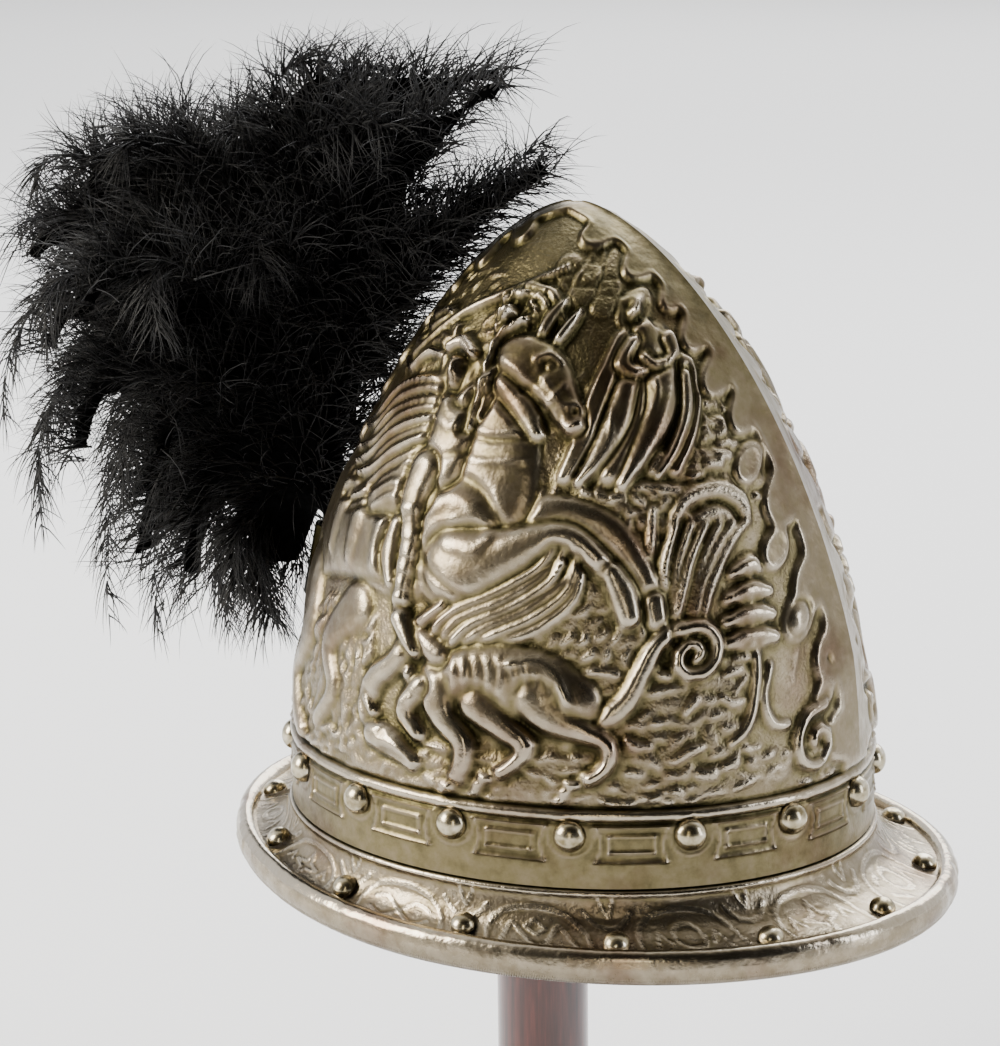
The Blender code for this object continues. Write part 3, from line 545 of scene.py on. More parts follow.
def draw_horse(r):
    """The rearing horse, from the far legs to the head."""
    r.form(2.8, (-50, 66, 9), (-66, 48, 6), (-60, 32, 4), (-70, 18, 4))
    r.form(3.4, (-28, 92, 20), (-58, 96, 21), (-88, 92, 23), (-102, 78, 20))
    r.form(3.6, (-98, 66, 15), (-88, 46, 8), (-98, 30, 5), (-92, 16, 5), (-84, 10, 4))
    r.form(2.6, (-116, 92, 5), (-128, 74, 6), (-128, 50, 6), (-134, 32, 3))
    for s in (-38, -55, -72):
        r.line(1.0, (s, 108, 3.5), (s - 1, 96, 5), (s - 3, 82, 3.5))
    r.line(-0.9, (-24, 78, 1.3), (-50, 76, 1.3), (-80, 70, 1.3))
    r.form(3.2, (10, 104, 8), (28, 110, 7.5), (46, 105, 5.5), (58, 92, 4.4), (65, 79, 4.2))
    r.form(3.4, (65, 79, 4.4), (67, 72, 4.0), flat=0.4)
    r.form(4.0, (2, 116, 18), (4, 134, 14), (4, 150, 12.5), (6, 166, 10))
    r.form(5.0, (-8, 106, 15), (-6, 94, 20), (0, 84, 17), dig=0.3)
    r.form(5.6, (-4, 88, 15), (12, 95, 9.5), (24, 101, 6.4), (33, 102, 5.4), (43, 95, 4.2),
           (51, 87, 3.8), dig=0.4)
    r.form(5.2, (49, 90, 4.0), (54, 82, 5.2), (57, 74, 4.6), dig=0.3)
    r.line(0.8, (-18, 106, 3), (-10, 112, 4), (4, 108, 4), (6, 100, 3))
    r.line(-1.0, (-22, 92, 1.6), (-12, 84, 1.6), (2, 78, 1.6), (16, 82, 1.4))
    r.line(1.0, (-8, 98, 5), (2, 96, 5))
    r.line(-0.9, (-11, 138, 1.2), (0, 135, 1.2), (16, 137, 1.2))
    r.line(0.6, (-11, 141, 1.2), (0, 138, 1.2), (16, 140, 1.2))
    r.line(0.8, (-12, 130, 1.4), (-2, 127, 1.4), (14, 129, 1.4))


def draw_horse_head(r):
    mane = ((8, 186, 1.5), (0, 180, 1.7), (-3, 168, 1.7), (-4, 148, 1.2)), (
        (2, 182, 1.5), (-6, 174, 1.8), (-7.5, 158, 1.7), (-9, 138, 1.2))
    r.fan(r.form, 3.8, *mane, 9, lean=2.0)
    r.fan(r.form, 4.2, ((6, 186, 1.6), (0, 193, 2.2), (-8, 190, 1.6)),
          ((14, 184, 1.6), (8, 194, 2.2), (-2, 196, 1.6)), 4, lean=1.0)
    r.form(4.0, (9, 176, 2.4), (11, 185, 2.6), (14, 191, 1.2))
    r.form(4.4, (15, 174, 2.2), (18, 182, 2.4), (20, 187, 1.2))
    r.strew(r.line, 1.3, (-9, 152, 4, 192), 60, 9, 55, 22, 1.1, 31)
    r.form(4.2, (4, 157, 7.5), (9, 149.5, 5.2), (13, 143.5, 3.8), (16, 139, 3.0))
    r.form(4.8, (4, 168, 9.0), (10, 165, 9.8), (16, 159, 8.2), (22, 151.5, 6.0), (26, 146, 5.2),
           (28, 142.5, 4.2))
    r.line(1.0, (2, 161, 8.5))
    r.line(-0.8, (8, 154.5, 1.4), (13, 157.5, 1.4), (14.5, 162, 1.4))
    r.line(0.9, (14, 160, 1.7), (19, 154, 1.7), (23, 149, 1.5))
    r.line(-1.5, (15.5, 164.5, 3.2))
    r.line(1.7, (15.6, 164.0, 1.9))
    r.line(1.3, (10.5, 166.5, 1.3), (14.5, 168.6, 1.6), (19.5, 166, 1.2))
    r.line(-1.8, (27.5, 147.2, 1.6))
    r.line(0.9, (24.5, 149.5, 1.2), (28.0, 150.2, 1.3), (30.5, 147.5, 1.2))
    r.line(1.0, (30, 143.5, 1.5), (26.5, 140.8, 1.5), (23, 142.5, 1.2))
    r.line(-1.0, (22.5, 145.0, 1.1), (18.5, 149.0, 1.1))
    r.line(0.8, (-2, 166, 1.1), (7, 160.5, 1.2), (16, 153, 1.1), (21, 146.5, 1.1))
    r.line(0.8, (22.5, 157.5, 1.1), (19, 151, 1.2), (15.5, 146, 1.1))
    r.line(1.2, (20.5, 145.5, 2.2))
    r.line(-1.2, (20.5, 145.5, 1.1))


preview("horse", draw_horse, draw_horse_head)

# %% The rider


def draw_rider(r):
    """The knight, with a lance along the thigh and a cape that streams behind."""
    r.form(2.2, (-20, 146, 10), (-42, 138, 16), (-58, 122, 14), flat=0.5)
    cape = (((-15, 154, 1.4), (-32, 154, 2.0), (-50, 147, 2.4), (-64, 134, 1.8), (-80, 128, 1.0)),
            ((-16, 128, 1.4), (-28, 120, 2.0), (-40, 112, 2.2), (-52, 104, 1.8), (-66, 98, 1.0)))
    r.fan(r.form, 3.8, *cape, 10, lean=3.2)
    r.fan(r.form, 3.4, ((-26, 176, 1.2), (-36, 181, 1.8), (-46, 176, 1.6), (-56, 178, 1.0)),
          ((-26, 164, 1.2), (-38, 164, 1.8), (-48, 156, 1.6), (-58, 158, 1.0)), 5, lean=1.8)
    r.form(4.4, (-16, 148, 8.5), (-16, 136, 9.5), (-18, 124, 10))
    r.line(0.8, (-23, 142, 2.5), (-16, 138, 2.5), (-10, 141, 2.5))
    r.line(-0.8, (-26, 130, 1.3), (-17, 127, 1.3), (-8, 130, 1.3))
    r.form(3.4, (-26, 112, 9), (-38, 110, 9), (-48, 106, 6))
    for drop in (0.0, 5.0, 10.0):
        r.line(0.9, (-48, 112 - drop, 1.2), (-36, 119 - drop, 1.4), (-24, 114 - drop, 1.2))
    r.form(4.2, (-13, 150, 4.8), (-5, 156, 4.0), (-3, 168, 3.4), (-6, 180, 3.2))
    r.form(4.6, (-5, 184, 4.2))
    r.form(2.8, (-52, 160, 1.6), (-26, 182, 1.9), (-5, 195, 2.0), (10, 206, 1.4))
    r.form(4.8, (-24, 122, 7.0), (-27, 108, 6.0), (-25, 94, 4.8), (-26, 80, 4.4), (-26, 66, 3.8))
    r.form(5.4, (-25, 66, 4.6), (-20, 59, 3.6), (-17, 55, 2.4))
    r.line(0.9, (-28, 106, 2.6), (-22, 106, 2.6))
    for rise in (100, 94, 88, 82, 76):
        r.line(-0.6, (-29, rise, 1.0), (-18, rise - 1, 1.0))
    r.form(3.6, (-33, 100, 3.0), (-35, 88, 4.4), (-32, 78, 3.0))
    r.form(3.2, (-20, 164, 9.0), (-20, 158, 8.2), flat=0.5)
    r.fan(r.line, 1.1, ((-27, 168, 1.1), (-29, 160, 1.3), (-26, 152, 1.1)),
          ((-13, 168, 1.1), (-11, 160, 1.3), (-14, 152, 1.1)), 2)
    r.form(4.9, (-20, 162, 6.0), (-20, 156, 4.6), flat=0.8)
    r.form(5.4, (-25.5, 167, 2.6), (-20, 170.5, 4.4), (-14.5, 167, 2.6), flat=0.7)
    r.line(0.9, (-27, 165.2, 1.2), (-20, 166.6, 1.3), (-13, 165.2, 1.2))
    r.line(1.2, (-20, 162, 1.1), (-20, 158.2, 1.5))
    for s in (-22.9, -17.1):
        r.line(-1.2, (s, 161.2, 1.6))
        r.line(0.8, (s - 1.4, 163.6, 1.0), (s + 1.4, 163.6, 1.0))
    r.line(-1.2, (-22, 155.2, 1.1), (-18, 155.2, 1.1))
    r.line(0.9, (-21.2, 153.2, 1.2), (-18.8, 153.2, 1.2))


preview("rider", draw_rider)

# %% The dragon


def draw_dragon(r):
    """The dragon under the hooves: wings, neck, body, legs and the curled tail."""
    r.form(2.6, (-6, 60, 7), (10, 70, 9), (28, 84, 7), flat=0.5)
    r.fan(r.form, 4.0, ((-12, 52, 1.6), (-8, 68, 2.6), (10, 79, 2.8), (24, 90, 2.0), (29, 98, 1.2)),
          ((4, 54, 1.6), (14, 62, 2.4), (28, 70, 2.4), (38, 80, 2.0), (40, 90, 1.2)), 6, lean=1.4)
    r.form(3.6, (-16, 42, 3.0), (-22, 52, 3.0), (-18, 64, 2.8), (-8, 74, 2.0))
    r.form(4.2, (38, 40, 7), (50, 38, 5), (58, 43, 4.4), (63, 54, 4.0), (68, 65, 3.6), (75, 70, 3.2))
    r.form(4.4, *scroll(81, 59.5, 11, 3.2, 122, -1.5))
    r.form(4.8, (-6, 47, 9), (8, 50, 12), (26, 49, 13.5), (40, 43, 11))
    r.line(0.8, (-6, 46, 8), (0, 51, 8))
    r.line(0.9, (30, 46, 10), (38, 42, 8))
    r.form(4.2, (-8, 56, 5), (-18, 60, 4.6), (-26, 50, 4.4), (-35, 42, 4.6), (-38, 31, 4.6),
           (-33, 22, 4.6))
    r.form(4.8, (-33, 22, 5.6), (-24, 20, 5.2), (-15, 15, 3.4))
    r.form(4.4, (-34, 30, 2.2), (-38, 35, 1.6))
    r.line(-1.4, (-28, 18, 1.1), (-20, 17, 1.1), (-12, 13, 0.9))
    r.line(1.2, (-30, 26, 1.7), (-26, 26, 1.5))
    r.line(-1.2, (-28.5, 24, 1.1), (-27.5, 24, 1.1))
    for share in np.linspace(0.0, 1.0, 8):
        turn = math.pi * (0.98 - 0.8 * share)
        r.line(0.7, (-26 + 12 * math.cos(turn), 40 + 17 * math.sin(turn), 1.5))
    for share in np.linspace(0.0, 1.0, 10):
        s = -2 + 38 * share
        m = 57 - 7 * share + 4.0 * math.sin(math.pi * share)
        r.line(0.9, (s, m, 0.9), (s + 2.4, m - 6, 1.3), (s + 1.4, m - 13, 0.8))
    r.line(1.0, (18, 56, 1.6), (28, 58, 2.2), (36, 52, 2.0), (40, 42, 1.4))
    r.form(5.2, (-8, 44, 7.4), (-4, 34, 5.6), (4, 26, 4.4), (4, 17, 3.8), (0, 9, 3.2), dig=0.25)
    r.form(5.4, (28, 44, 8.0), (34, 38, 6.4), (46, 33, 4.4), (54, 29, 3.4), (53, 20, 3.0),
           (44, 14, 3.0), dig=0.25)
    r.form(4.8, (8, 40, 7.0), (18, 33, 5.0), (26, 27, 3.8), (22, 20, 3.2), (14, 14, 3.0), dig=0.25)
    for s, m in ((0, 9), (44, 14), (14, 14)):
        for side in (-3.8, 0.0, 3.8):
            r.form(4.2, (s, m, 2.0), (s - 5 + side * 0.4, m - 3 + side, 1.0))
    r.form(4.0, (-14, 26, 3.4), (-20, 34, 4.4), (-14, 44, 4.0))
    r.fan(r.line, 0.9, ((-22, 30, 0.8), (-20, 38, 1.1)), ((-10, 30, 0.8), (-10, 40, 1.1)), 4)


preview("dragon", draw_dragon)

# %% [markdown]
# ## Frame of the picture and base band
#
# A strapwork frame runs up beside the ridge, with a lobed inner edge that ends in a volute above the
# band. The base band below carries a double-lined panel between each pair of rivets. Frame and band
# are level-topped strokes and thin raised lines, in the same toolbox.

# %% Strapwork frame and band panels
BAND_RIVETS = 16
RIVET_M = -5.0
Lobe = namedtuple("Lobe", "inset m radius")
LOBES = (
    Lobe(13, 222, 8), Lobe(10, 207, 9), Lobe(10, 191, 7), Lobe(11, 176, 9), Lobe(15, 158, 9),
    Lobe(12, 143, 9), Lobe(22, 124, 8), Lobe(12, 110, 11), Lobe(25, 92, 8), Lobe(13, 78, 10),
    Lobe(24, 66, 9), Lobe(12, 50, 10), Lobe(20, 36, 6), Lobe(13, 20, 10),
)
STRAP_INSET = 12.0
STRAP_HIGH = 2.0
STRAP_BEVEL = 1.6
BLEND = 2.2
NAILS = ((11, 8), (13, 49), (11, 99))
RING_RADIUS = 8.0
PanelLine = namedtuple("PanelLine", "half low top bow")
PANEL_LINES = (PanelLine(12.5, -14.5, -1.6, 1.8), PanelLine(8.0, -11.0, -5.0, 0.0))


def at_inset(inset, m, side):
    """The drawing's s at a distance from the ridge: side is 1 at the front and -1 at the back."""
    height = np.interp(m * MM + FIELD_START, SIDE_LINE, FINE_SHARES)
    return side * (MEAN_RADIUS * math.pi / 2.0 * float(bowl_share(height)) / MM - inset)


def draw_frame(r, to_ridge, side):
    """The strip along one ridge, with one lobed inner edge that has a bright bevel."""
    pull = np.exp(-(to_ridge - STRAP_INSET) / BLEND)
    for lobe in LOBES:
        away = np.hypot(r.s - at_inset(lobe.inset, lobe.m, side), r.m - lobe.m) - lobe.radius
        pull = pull + np.exp(-np.minimum(away, 60.0) / BLEND)
    away = -BLEND * np.log(pull)
    here = (r.s * side > 0.0) & (r.m > 4.0)
    moat = np.clip(1.0 - np.maximum(away, 0.0) / MOAT, 0.0, 1.0) * here
    top = np.clip(-away / STRAP_BEVEL, 0.0, 1.0) * here
    rim = 0.45 * np.exp(-((away + STRAP_BEVEL + 0.6) / 0.8) ** 2) * here
    r.high = np.where(top > 0.0, STRAP_HIGH * top * top * (3.0 - 2.0 * top) + rim,
                      r.high * (1.0 - 0.8 * moat ** 2))
    r.rough = r.rough * (1.0 - np.ceil(top))
    r.form(3.4, (at_inset(24, 66, side), 66, 6.5))
    r.form(3.4, *[(side * s, m, t) for s, m, t in scroll(138, 21, 13, 2.6, 75, 1.35)])
    for inset, m in NAILS:
        r.line(-2.2, (at_inset(inset, m, side), m, 1.3))


def draw_band(r):
    """The bead on top of the base band, and a double-lined panel between the rivets."""
    reach = MEAN_RADIUS * math.pi / 2.0 / MM
    bead, groove_over, groove_under = (
        (r.form, 1.5, 2.6, 2.0), (r.line, -0.7, 5.4, 1.2), (r.line, -0.5, -0.2, 1.0))
    for draw, high, m, radius in (bead, groove_over, groove_under):
        draw(high, (-reach - 5, m, radius), (reach + 5, m, radius))
    gap = 2.0 * math.pi * MEAN_RADIUS / BAND_RIVETS / MM
    for index in range(-5, 6):
        rivet = index * gap
        r.line(0.35, *[(rivet + RING_RADIUS * math.cos(turn), RIVET_M + RING_RADIUS * math.sin(turn), 0.9)
                       for turn in np.linspace(0.0, 2.0 * math.pi, 17)])
        for panel in PANEL_LINES:
            left, right = rivet + gap / 2.0 - panel.half, rivet + gap / 2.0 + panel.half
            middle = (panel.low + panel.top) / 2.0
            for s, bow in ((right, -panel.bow), (left, panel.bow)):
                r.line(0.6, (s, panel.low, 0.9), (s + bow, middle, 0.9), (s, panel.top, 0.9))
            for m in (panel.low, panel.top):
                r.line(0.6, (left, m, 0.9), ((left + right) / 2.0, m, 0.9), (right, m, 0.9))


print("lobes of the frame:", len(LOBES))

# %% [markdown]
# ## Casting the bowl
#
# The bowl is cast in two halves that meet on the medial ridge. Each half is one grid, bent round the
# wall: its first rows are the smooth inside, and the rest is the outside at about one millimetre a
# cell, fine enough for the relief. A grid keeps the faces even, which a sculpted ball would not.
# One attribute says how far each point stands above its surroundings, and is lowered on the band and
# towards the top of the bowl as painted shade; the attribute rough marks the ground that was left as
# it came from the mould.

# %% Make the halves
HALF_COLUMNS = 340
BAND_ROWS = 32
FIELD_ROWS = 238
INNER_ROWS = 8
FIELD_FOOT = 4.0
RIDGE_STRIP = 4.0
CAVITY_STEPS = 14
# Painted shade: how much darker the band and the top of the bowl are made.
BAND_SHADE = 0.35
TOP_SHADE = 0.55
TOP_FROM, TOP_OVER = 0.62, 0.25


def blurred(values, steps):
    """Values of a grid, averaged with their neighbours a number of times."""
    for _ in range(steps):
        padded = np.pad(values, 1, mode="edge")
        values = (padded[:-2, 1:-1] + padded[2:, 1:-1] + padded[1:-1, :-2] + padded[1:-1, 2:]
                  + 2.0 * values) / 6.0
    return values


def side_relief(angle, height):
    """The relief's heights in metres over one half, from its drawing."""
    width = bowl_share(height)
    turn = np.arcsin(np.clip(np.cos(angle), -1.0, 1.0))
    s = turn * MEAN_RADIUS * width / MM
    m = (np.interp(height, FINE_SHARES, SIDE_LINE) - FIELD_START) / MM
    to_ridge = MEAN_RADIUS * math.pi / 2.0 * width / MM - np.abs(s)
    r = Relief(s, m)
    r.texture = 1.0
    for draw in (draw_ground, draw_castle, draw_cliff):
        draw(r)
    r.texture = 0.0
    for draw in (draw_tree, draw_figure, draw_horse, draw_dragon, draw_rider, draw_horse_head):
        draw(r)
    r.high = (r.high * np.clip((to_ridge - RIDGE_STRIP) / (2.0 * RIDGE_STRIP), 0.0, 1.0)
              * np.clip((m - FIELD_FOOT) / 3.0, 0.0, 1.0))
    for side in (-1, 1):
        draw_frame(r, to_ridge, side)
    r.high = blurred(r.high, 2)
    draw_band(r)
    return r.high * MM, r.rough * (m > 6.0)


def grid_mesh(name, columns, rows, points):
    """A grid mesh whose corners take their places from an array of rows by columns of points."""
    bm = bmesh.new()
    bmesh.ops.create_grid(bm, x_segments=columns, y_segments=rows, size=0.5)
    mesh = bpy.data.meshes.new(name)
    bm.to_mesh(mesh)
    bm.free()
    places = np.zeros(len(mesh.vertices) * 3)
    mesh.vertices.foreach_get("co", places)
    places = places.reshape(-1, 3)
    column = np.rint((places[:, 0] + 0.5) * columns).astype(int)
    row = np.rint((places[:, 1] + 0.5) * rows).astype(int)
    mesh.vertices.foreach_set("co", points[row, column].astype(np.float32).ravel())
    mesh.update()
    return mesh, row, column


def set_attribute(mesh, name, values):
    layer = mesh.attributes.new(name, "FLOAT", "POINT")
    layer.data.foreach_set("value", np.asarray(values, np.float32))


def close_up(mesh, merge=0.00002):
    """Welds seams and poles, fills what is still open, and turns the faces outwards."""
    bm = bmesh.new()
    bm.from_mesh(mesh)
    bmesh.ops.remove_doubles(bm, verts=bm.verts, dist=merge)
    bmesh.ops.holes_fill(bm, edges=[edge for edge in bm.edges if edge.is_boundary], sides=0)
    bmesh.ops.recalc_face_normals(bm, faces=bm.faces)
    bm.to_mesh(mesh)
    bm.free()


def finish_piece(name, mesh, material, slot, *replaced, sharp=45):
    mesh.shade_smooth()
    mesh.set_sharp_from_angle(angle=math.radians(sharp))
    mesh.materials.append(material)
    item = bpy.data.objects.new(name, mesh)
    bpy.context.scene.collection.objects.link(item)
    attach(item, "root")
    if replaced:
        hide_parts(*replaced)
    print(name, len(mesh.polygons), "faces")
    return item


def make_half(name, first, last, material, *replaced):
    outside = np.concatenate((
        np.linspace(0.0, BAND_HEIGHT, BAND_ROWS, endpoint=False) / SKULL_HEIGHT,
        np.interp(np.linspace(FIELD_START, SIDE_LINE[-1], FIELD_ROWS + 1), SIDE_LINE, FINE_SHARES),
    ))
    inside = np.interp(np.linspace(SIDE_LINE[-1], 0.0, INNER_ROWS + 1), SIDE_LINE, FINE_SHARES)
    around = np.linspace(first, last, HALF_COLUMNS + 1)
    angle, height = np.meshgrid(around, outside)
    relief, rough = side_relief(angle, height)
    outer = wall(angle, height) + wall_normal(angle, height) * (ridge(angle, height) + relief)[..., None]
    outer[:, (0, -1), 1] = 0.0
    outer[-1] = (0.0, 0.0, SKULL_HEIGHT)
    inner = wall(*np.meshgrid(around, inside), SKULL_WALL)
    inner[:, (0, -1), 1] = 0.0
    points = np.concatenate((inner, outer)) + FOOT
    mesh, row, column = grid_mesh(name, HALF_COLUMNS, len(points) - 1, points)
    hollow = np.zeros((len(inner), HALF_COLUMNS + 1))
    cavity_and_shade = (relief - blurred(relief, CAVITY_STEPS)) / MM
    # The band, and the bowl towards its top, are painted darker: painted shade.
    cavity_and_shade -= BAND_SHADE * (height * SKULL_HEIGHT < BAND_HEIGHT)
    cavity_and_shade -= TOP_SHADE * np.clip((height - TOP_FROM) / TOP_OVER, 0.0, 1.0)
    set_attribute(mesh, "polish_and_painted_light", np.concatenate((hollow, cavity_and_shade))[row, column])
    set_attribute(mesh, "rough", np.concatenate((hollow, rough))[row, column])
    close_up(mesh)
    return finish_piece(name, mesh, material, "helmet_metal", *replaced)


# %% [markdown]
# ## White brass
#
# The helmet is cast in nickel silver, a brass whitened with nickel, and then chased and polished by
# hand. Its colour is a warm grey with a trace of yellow. The high places are rubbed bright. Olive
# and brown tarnish stays in the hollows, with violet-brown clouds on the plain parts. A metal's
# IOR stays at its default. The fine pits of the casting, slow waves in the sheet and the milled cuts
# under the rolled edge are too small to model and are bump.

# %% The helmet's metal
MILL_PITCH = 0.95


def make_white_brass():
    material, tree, shader = new_material("cast_nickel_silver")
    shader.inputs["Metallic"].default_value = 1.0
    place = add_node(tree, "ShaderNodeTexCoord")
    # This attribute carries the tarnish in the hollows and the rubbed high places, and also painted shade
    # on the band, the top and the socket, and a painted highlight on the brim's crest.
    polish_and_painted_light = add_node(tree, "ShaderNodeAttribute", {"attribute_name": "polish_and_painted_light"})
    cloud = add_node(tree, "ShaderNodeTexNoise", {}, {
        "Vector": place.outputs["Object"], "Scale": 1.0 / (38 * MM), "Detail": 4.0, "Roughness": 0.6})
    grime = add_node(tree, "ShaderNodeTexNoise", {}, {
        "Vector": place.outputs["Object"], "Scale": 1.0 / (7 * MM), "Detail": 6.0, "Roughness": 0.65})
    worn = add_node(tree, "ShaderNodeMapRange", {}, {
        "Value": polish_and_painted_light.outputs["Fac"], "From Min": -1.3, "From Max": 1.3})
    mixed = add_node(tree, "ShaderNodeMath", {"operation": "MULTIPLY_ADD"}, {
        0: grime.outputs["Fac"], 1: 0.5, 2: -0.25})
    level = add_node(tree, "ShaderNodeMath", {"operation": "ADD", "use_clamp": True}, {
        0: worn.outputs["Result"], 1: mixed.outputs["Value"]})
    metal = add_node(tree, "ShaderNodeValToRGB", {}, {"Fac": level.outputs["Value"]}, (
        (0.12, "#322e1b"), (0.34, "#6a6146"), (0.52, "#7b705c"), (0.8, "#a89e8c")))
    stain = add_node(tree, "ShaderNodeValToRGB", {}, {"Fac": cloud.outputs["Fac"]}, (
        (0.50, 0.0), (0.68, 1.0)))
    colour = add_node(tree, "ShaderNodeMix", {"data_type": "RGBA", "blend_type": "MULTIPLY"}, {
        "A": metal.outputs["Color"], "B": linear("#b89f94")})
    share = add_node(tree, "ShaderNodeMath", {"operation": "MULTIPLY"}, {
        0: stain.outputs["Color"], 1: 0.75})
    tree.links.new(share.outputs["Value"], colour.inputs["Factor"])
    tree.links.new(colour.outputs["Result"], shader.inputs["Base Color"])
    rough = add_node(tree, "ShaderNodeMapRange", {}, {
        "Value": level.outputs["Value"], "From Min": 0.1, "From Max": 0.9,
        "To Min": 0.42, "To Max": 0.19})
    tree.links.new(rough.outputs["Result"], shader.inputs["Roughness"])
    pits = add_node(tree, "ShaderNodeTexNoise", {}, {
        "Vector": place.outputs["Object"], "Scale": 1.0 / (1.3 * MM), "Detail": 4.0})
    rough_place = add_node(tree, "ShaderNodeAttribute", {"attribute_name": "rough"})
    pit_strength = add_node(tree, "ShaderNodeMapRange", {}, {
        "Value": rough_place.outputs["Fac"], "To Min": 0.22, "To Max": 0.9})
    waves = add_node(tree, "ShaderNodeTexNoise", {}, {
        "Vector": place.outputs["Object"], "Scale": 1.0 / (9 * MM), "Detail": 2.0})
    fine = add_node(tree, "ShaderNodeBump", {}, {
        "Height": pits.outputs["Fac"], "Strength": pit_strength.outputs["Result"], "Distance": 0.45 * MM})
    arc = add_node(tree, "ShaderNodeAttribute", {"attribute_name": "arc"})
    milled = add_node(tree, "ShaderNodeAttribute", {"attribute_name": "milled"})
    turns = add_node(tree, "ShaderNodeMath", {"operation": "MULTIPLY"}, {
        0: arc.outputs["Fac"], 1: 2.0 * math.pi / MILL_PITCH})
    teeth = add_node(tree, "ShaderNodeMath", {"operation": "SINE"}, {0: turns.outputs["Value"]})
    cuts = add_node(tree, "ShaderNodeMath", {"operation": "MULTIPLY"}, {
        0: teeth.outputs["Value"], 1: milled.outputs["Fac"]})
    edge = add_node(tree, "ShaderNodeBump", {}, {
        "Height": cuts.outputs["Value"], "Strength": 0.9, "Distance": 0.25 * MM,
        "Normal": fine.outputs["Normal"]})
    broad = add_node(tree, "ShaderNodeBump", {}, {
        "Height": waves.outputs["Fac"], "Strength": 0.6, "Distance": 1.0 * MM,
        "Normal": edge.outputs["Normal"]})
    tree.links.new(broad.outputs["Normal"], shader.inputs["Normal"])
    return material


white_brass = make_white_brass()
make_half("skull_right", -math.pi, 0.0, white_brass, "skull")
make_half("skull_left", 0.0, math.pi, white_brass)

# %% [markdown]
# ## The brim
#
# The brim is one ring: a collar inside the band, a steep cove, a nearly level face and a heavy rolled
# edge. Its section is a closed loop of points, and a grid carries that section round the helmet.
# Flat strapwork is chased on the face, in the rhythm of the rivets, and the edge has a few dents and
# a lapped patch.

# %% Sizes of the brim
BRIM_END_REACH = 0.0295
BRIM_SIDE_REACH = 0.01875
BRIM_SHEET = 0.0016
BRIM_FORWARD = 0.0048
BRIM_DROP = 0.0288
BRIM_BOW_FRONT = 0.0010
BRIM_BOW_BACK = 0.0090
COLLAR_HEIGHT = 0.0110
ROLL_WIDTH = 0.0088
ROLL_HEIGHT = 0.0132
CREASE_ANGLE = 150
CLEARANCE = 0.0003
Slope = namedtuple("Slope", "out drop")
BRIM_SLOPE = (
    Slope(0.00, 0.00),
    Slope(0.07, 0.29),
    Slope(0.19, 0.53),
    Slope(0.40, 0.75),
    Slope(0.70, 0.91),
    Slope(1.00, 1.00),
)
BRIM_RIVETS = 14
BRIM_RIVET_TURN = math.radians(3.0)
BRIM_COLUMNS = 980
SLOPE_ROWS = 44
ROLL_ROWS = 30
ROLL_END_ANGLE = -138
GROOVES = (14.0, -8.0, -30.0)
GROOVE_DEPTH = 0.00035
GROOVE_SPREAD = 4.0
MILL_TOP = -38.0
MILL_END = -78.0


def brim_ring(angle):
    """The brim's foot on the band, its outward direction, its width and its drop, round the ring."""
    foot = wall(angle, np.zeros_like(angle))
    bow = np.where(np.cos(angle) > 0.0, BRIM_BOW_FRONT, BRIM_BOW_BACK)
    edge = np.stack((
        (SKULL_LENGTH / 2.0 + BRIM_END_REACH) * np.cos(angle) + BRIM_FORWARD,
        (SKULL_WIDTH / 2.0 + BRIM_SIDE_REACH) * np.sin(angle),
        -BRIM_DROP + bow * np.cos(angle) ** 2,
    ), axis=-1)
    out = edge - foot
    out[:, 2] = 0.0
    width = np.linalg.norm(out, axis=-1)
    return foot, out / width[:, None], width, -edge[:, 2]


def roll_point(width, drop, degrees):
    turn = math.radians(degrees)
    return (width - ROLL_WIDTH / 2.0 * (1.0 - math.cos(turn)),
            -drop + ROLL_HEIGHT / 2.0 * (1.0 + math.sin(turn)))


# %% [markdown]
# The strapwork on the brim is low and flat: doubled thin lines in arches, waves, leaf loops and
# stars. Each bay between two rivets gets one of four motifs in turn, drawn with s round the brim and
# m outwards from the band, in shares of the bay.

# %% Chased strapwork


def outline(r, points, radius=1.15, high=0.42):
    """A raised strap with a line engraved along its middle, so that it reads as two lines."""
    r.line(high, *[(s, m, radius) for s, m in points])
    r.line(-0.25, *[(s, m, radius * 0.5) for s, m in points])


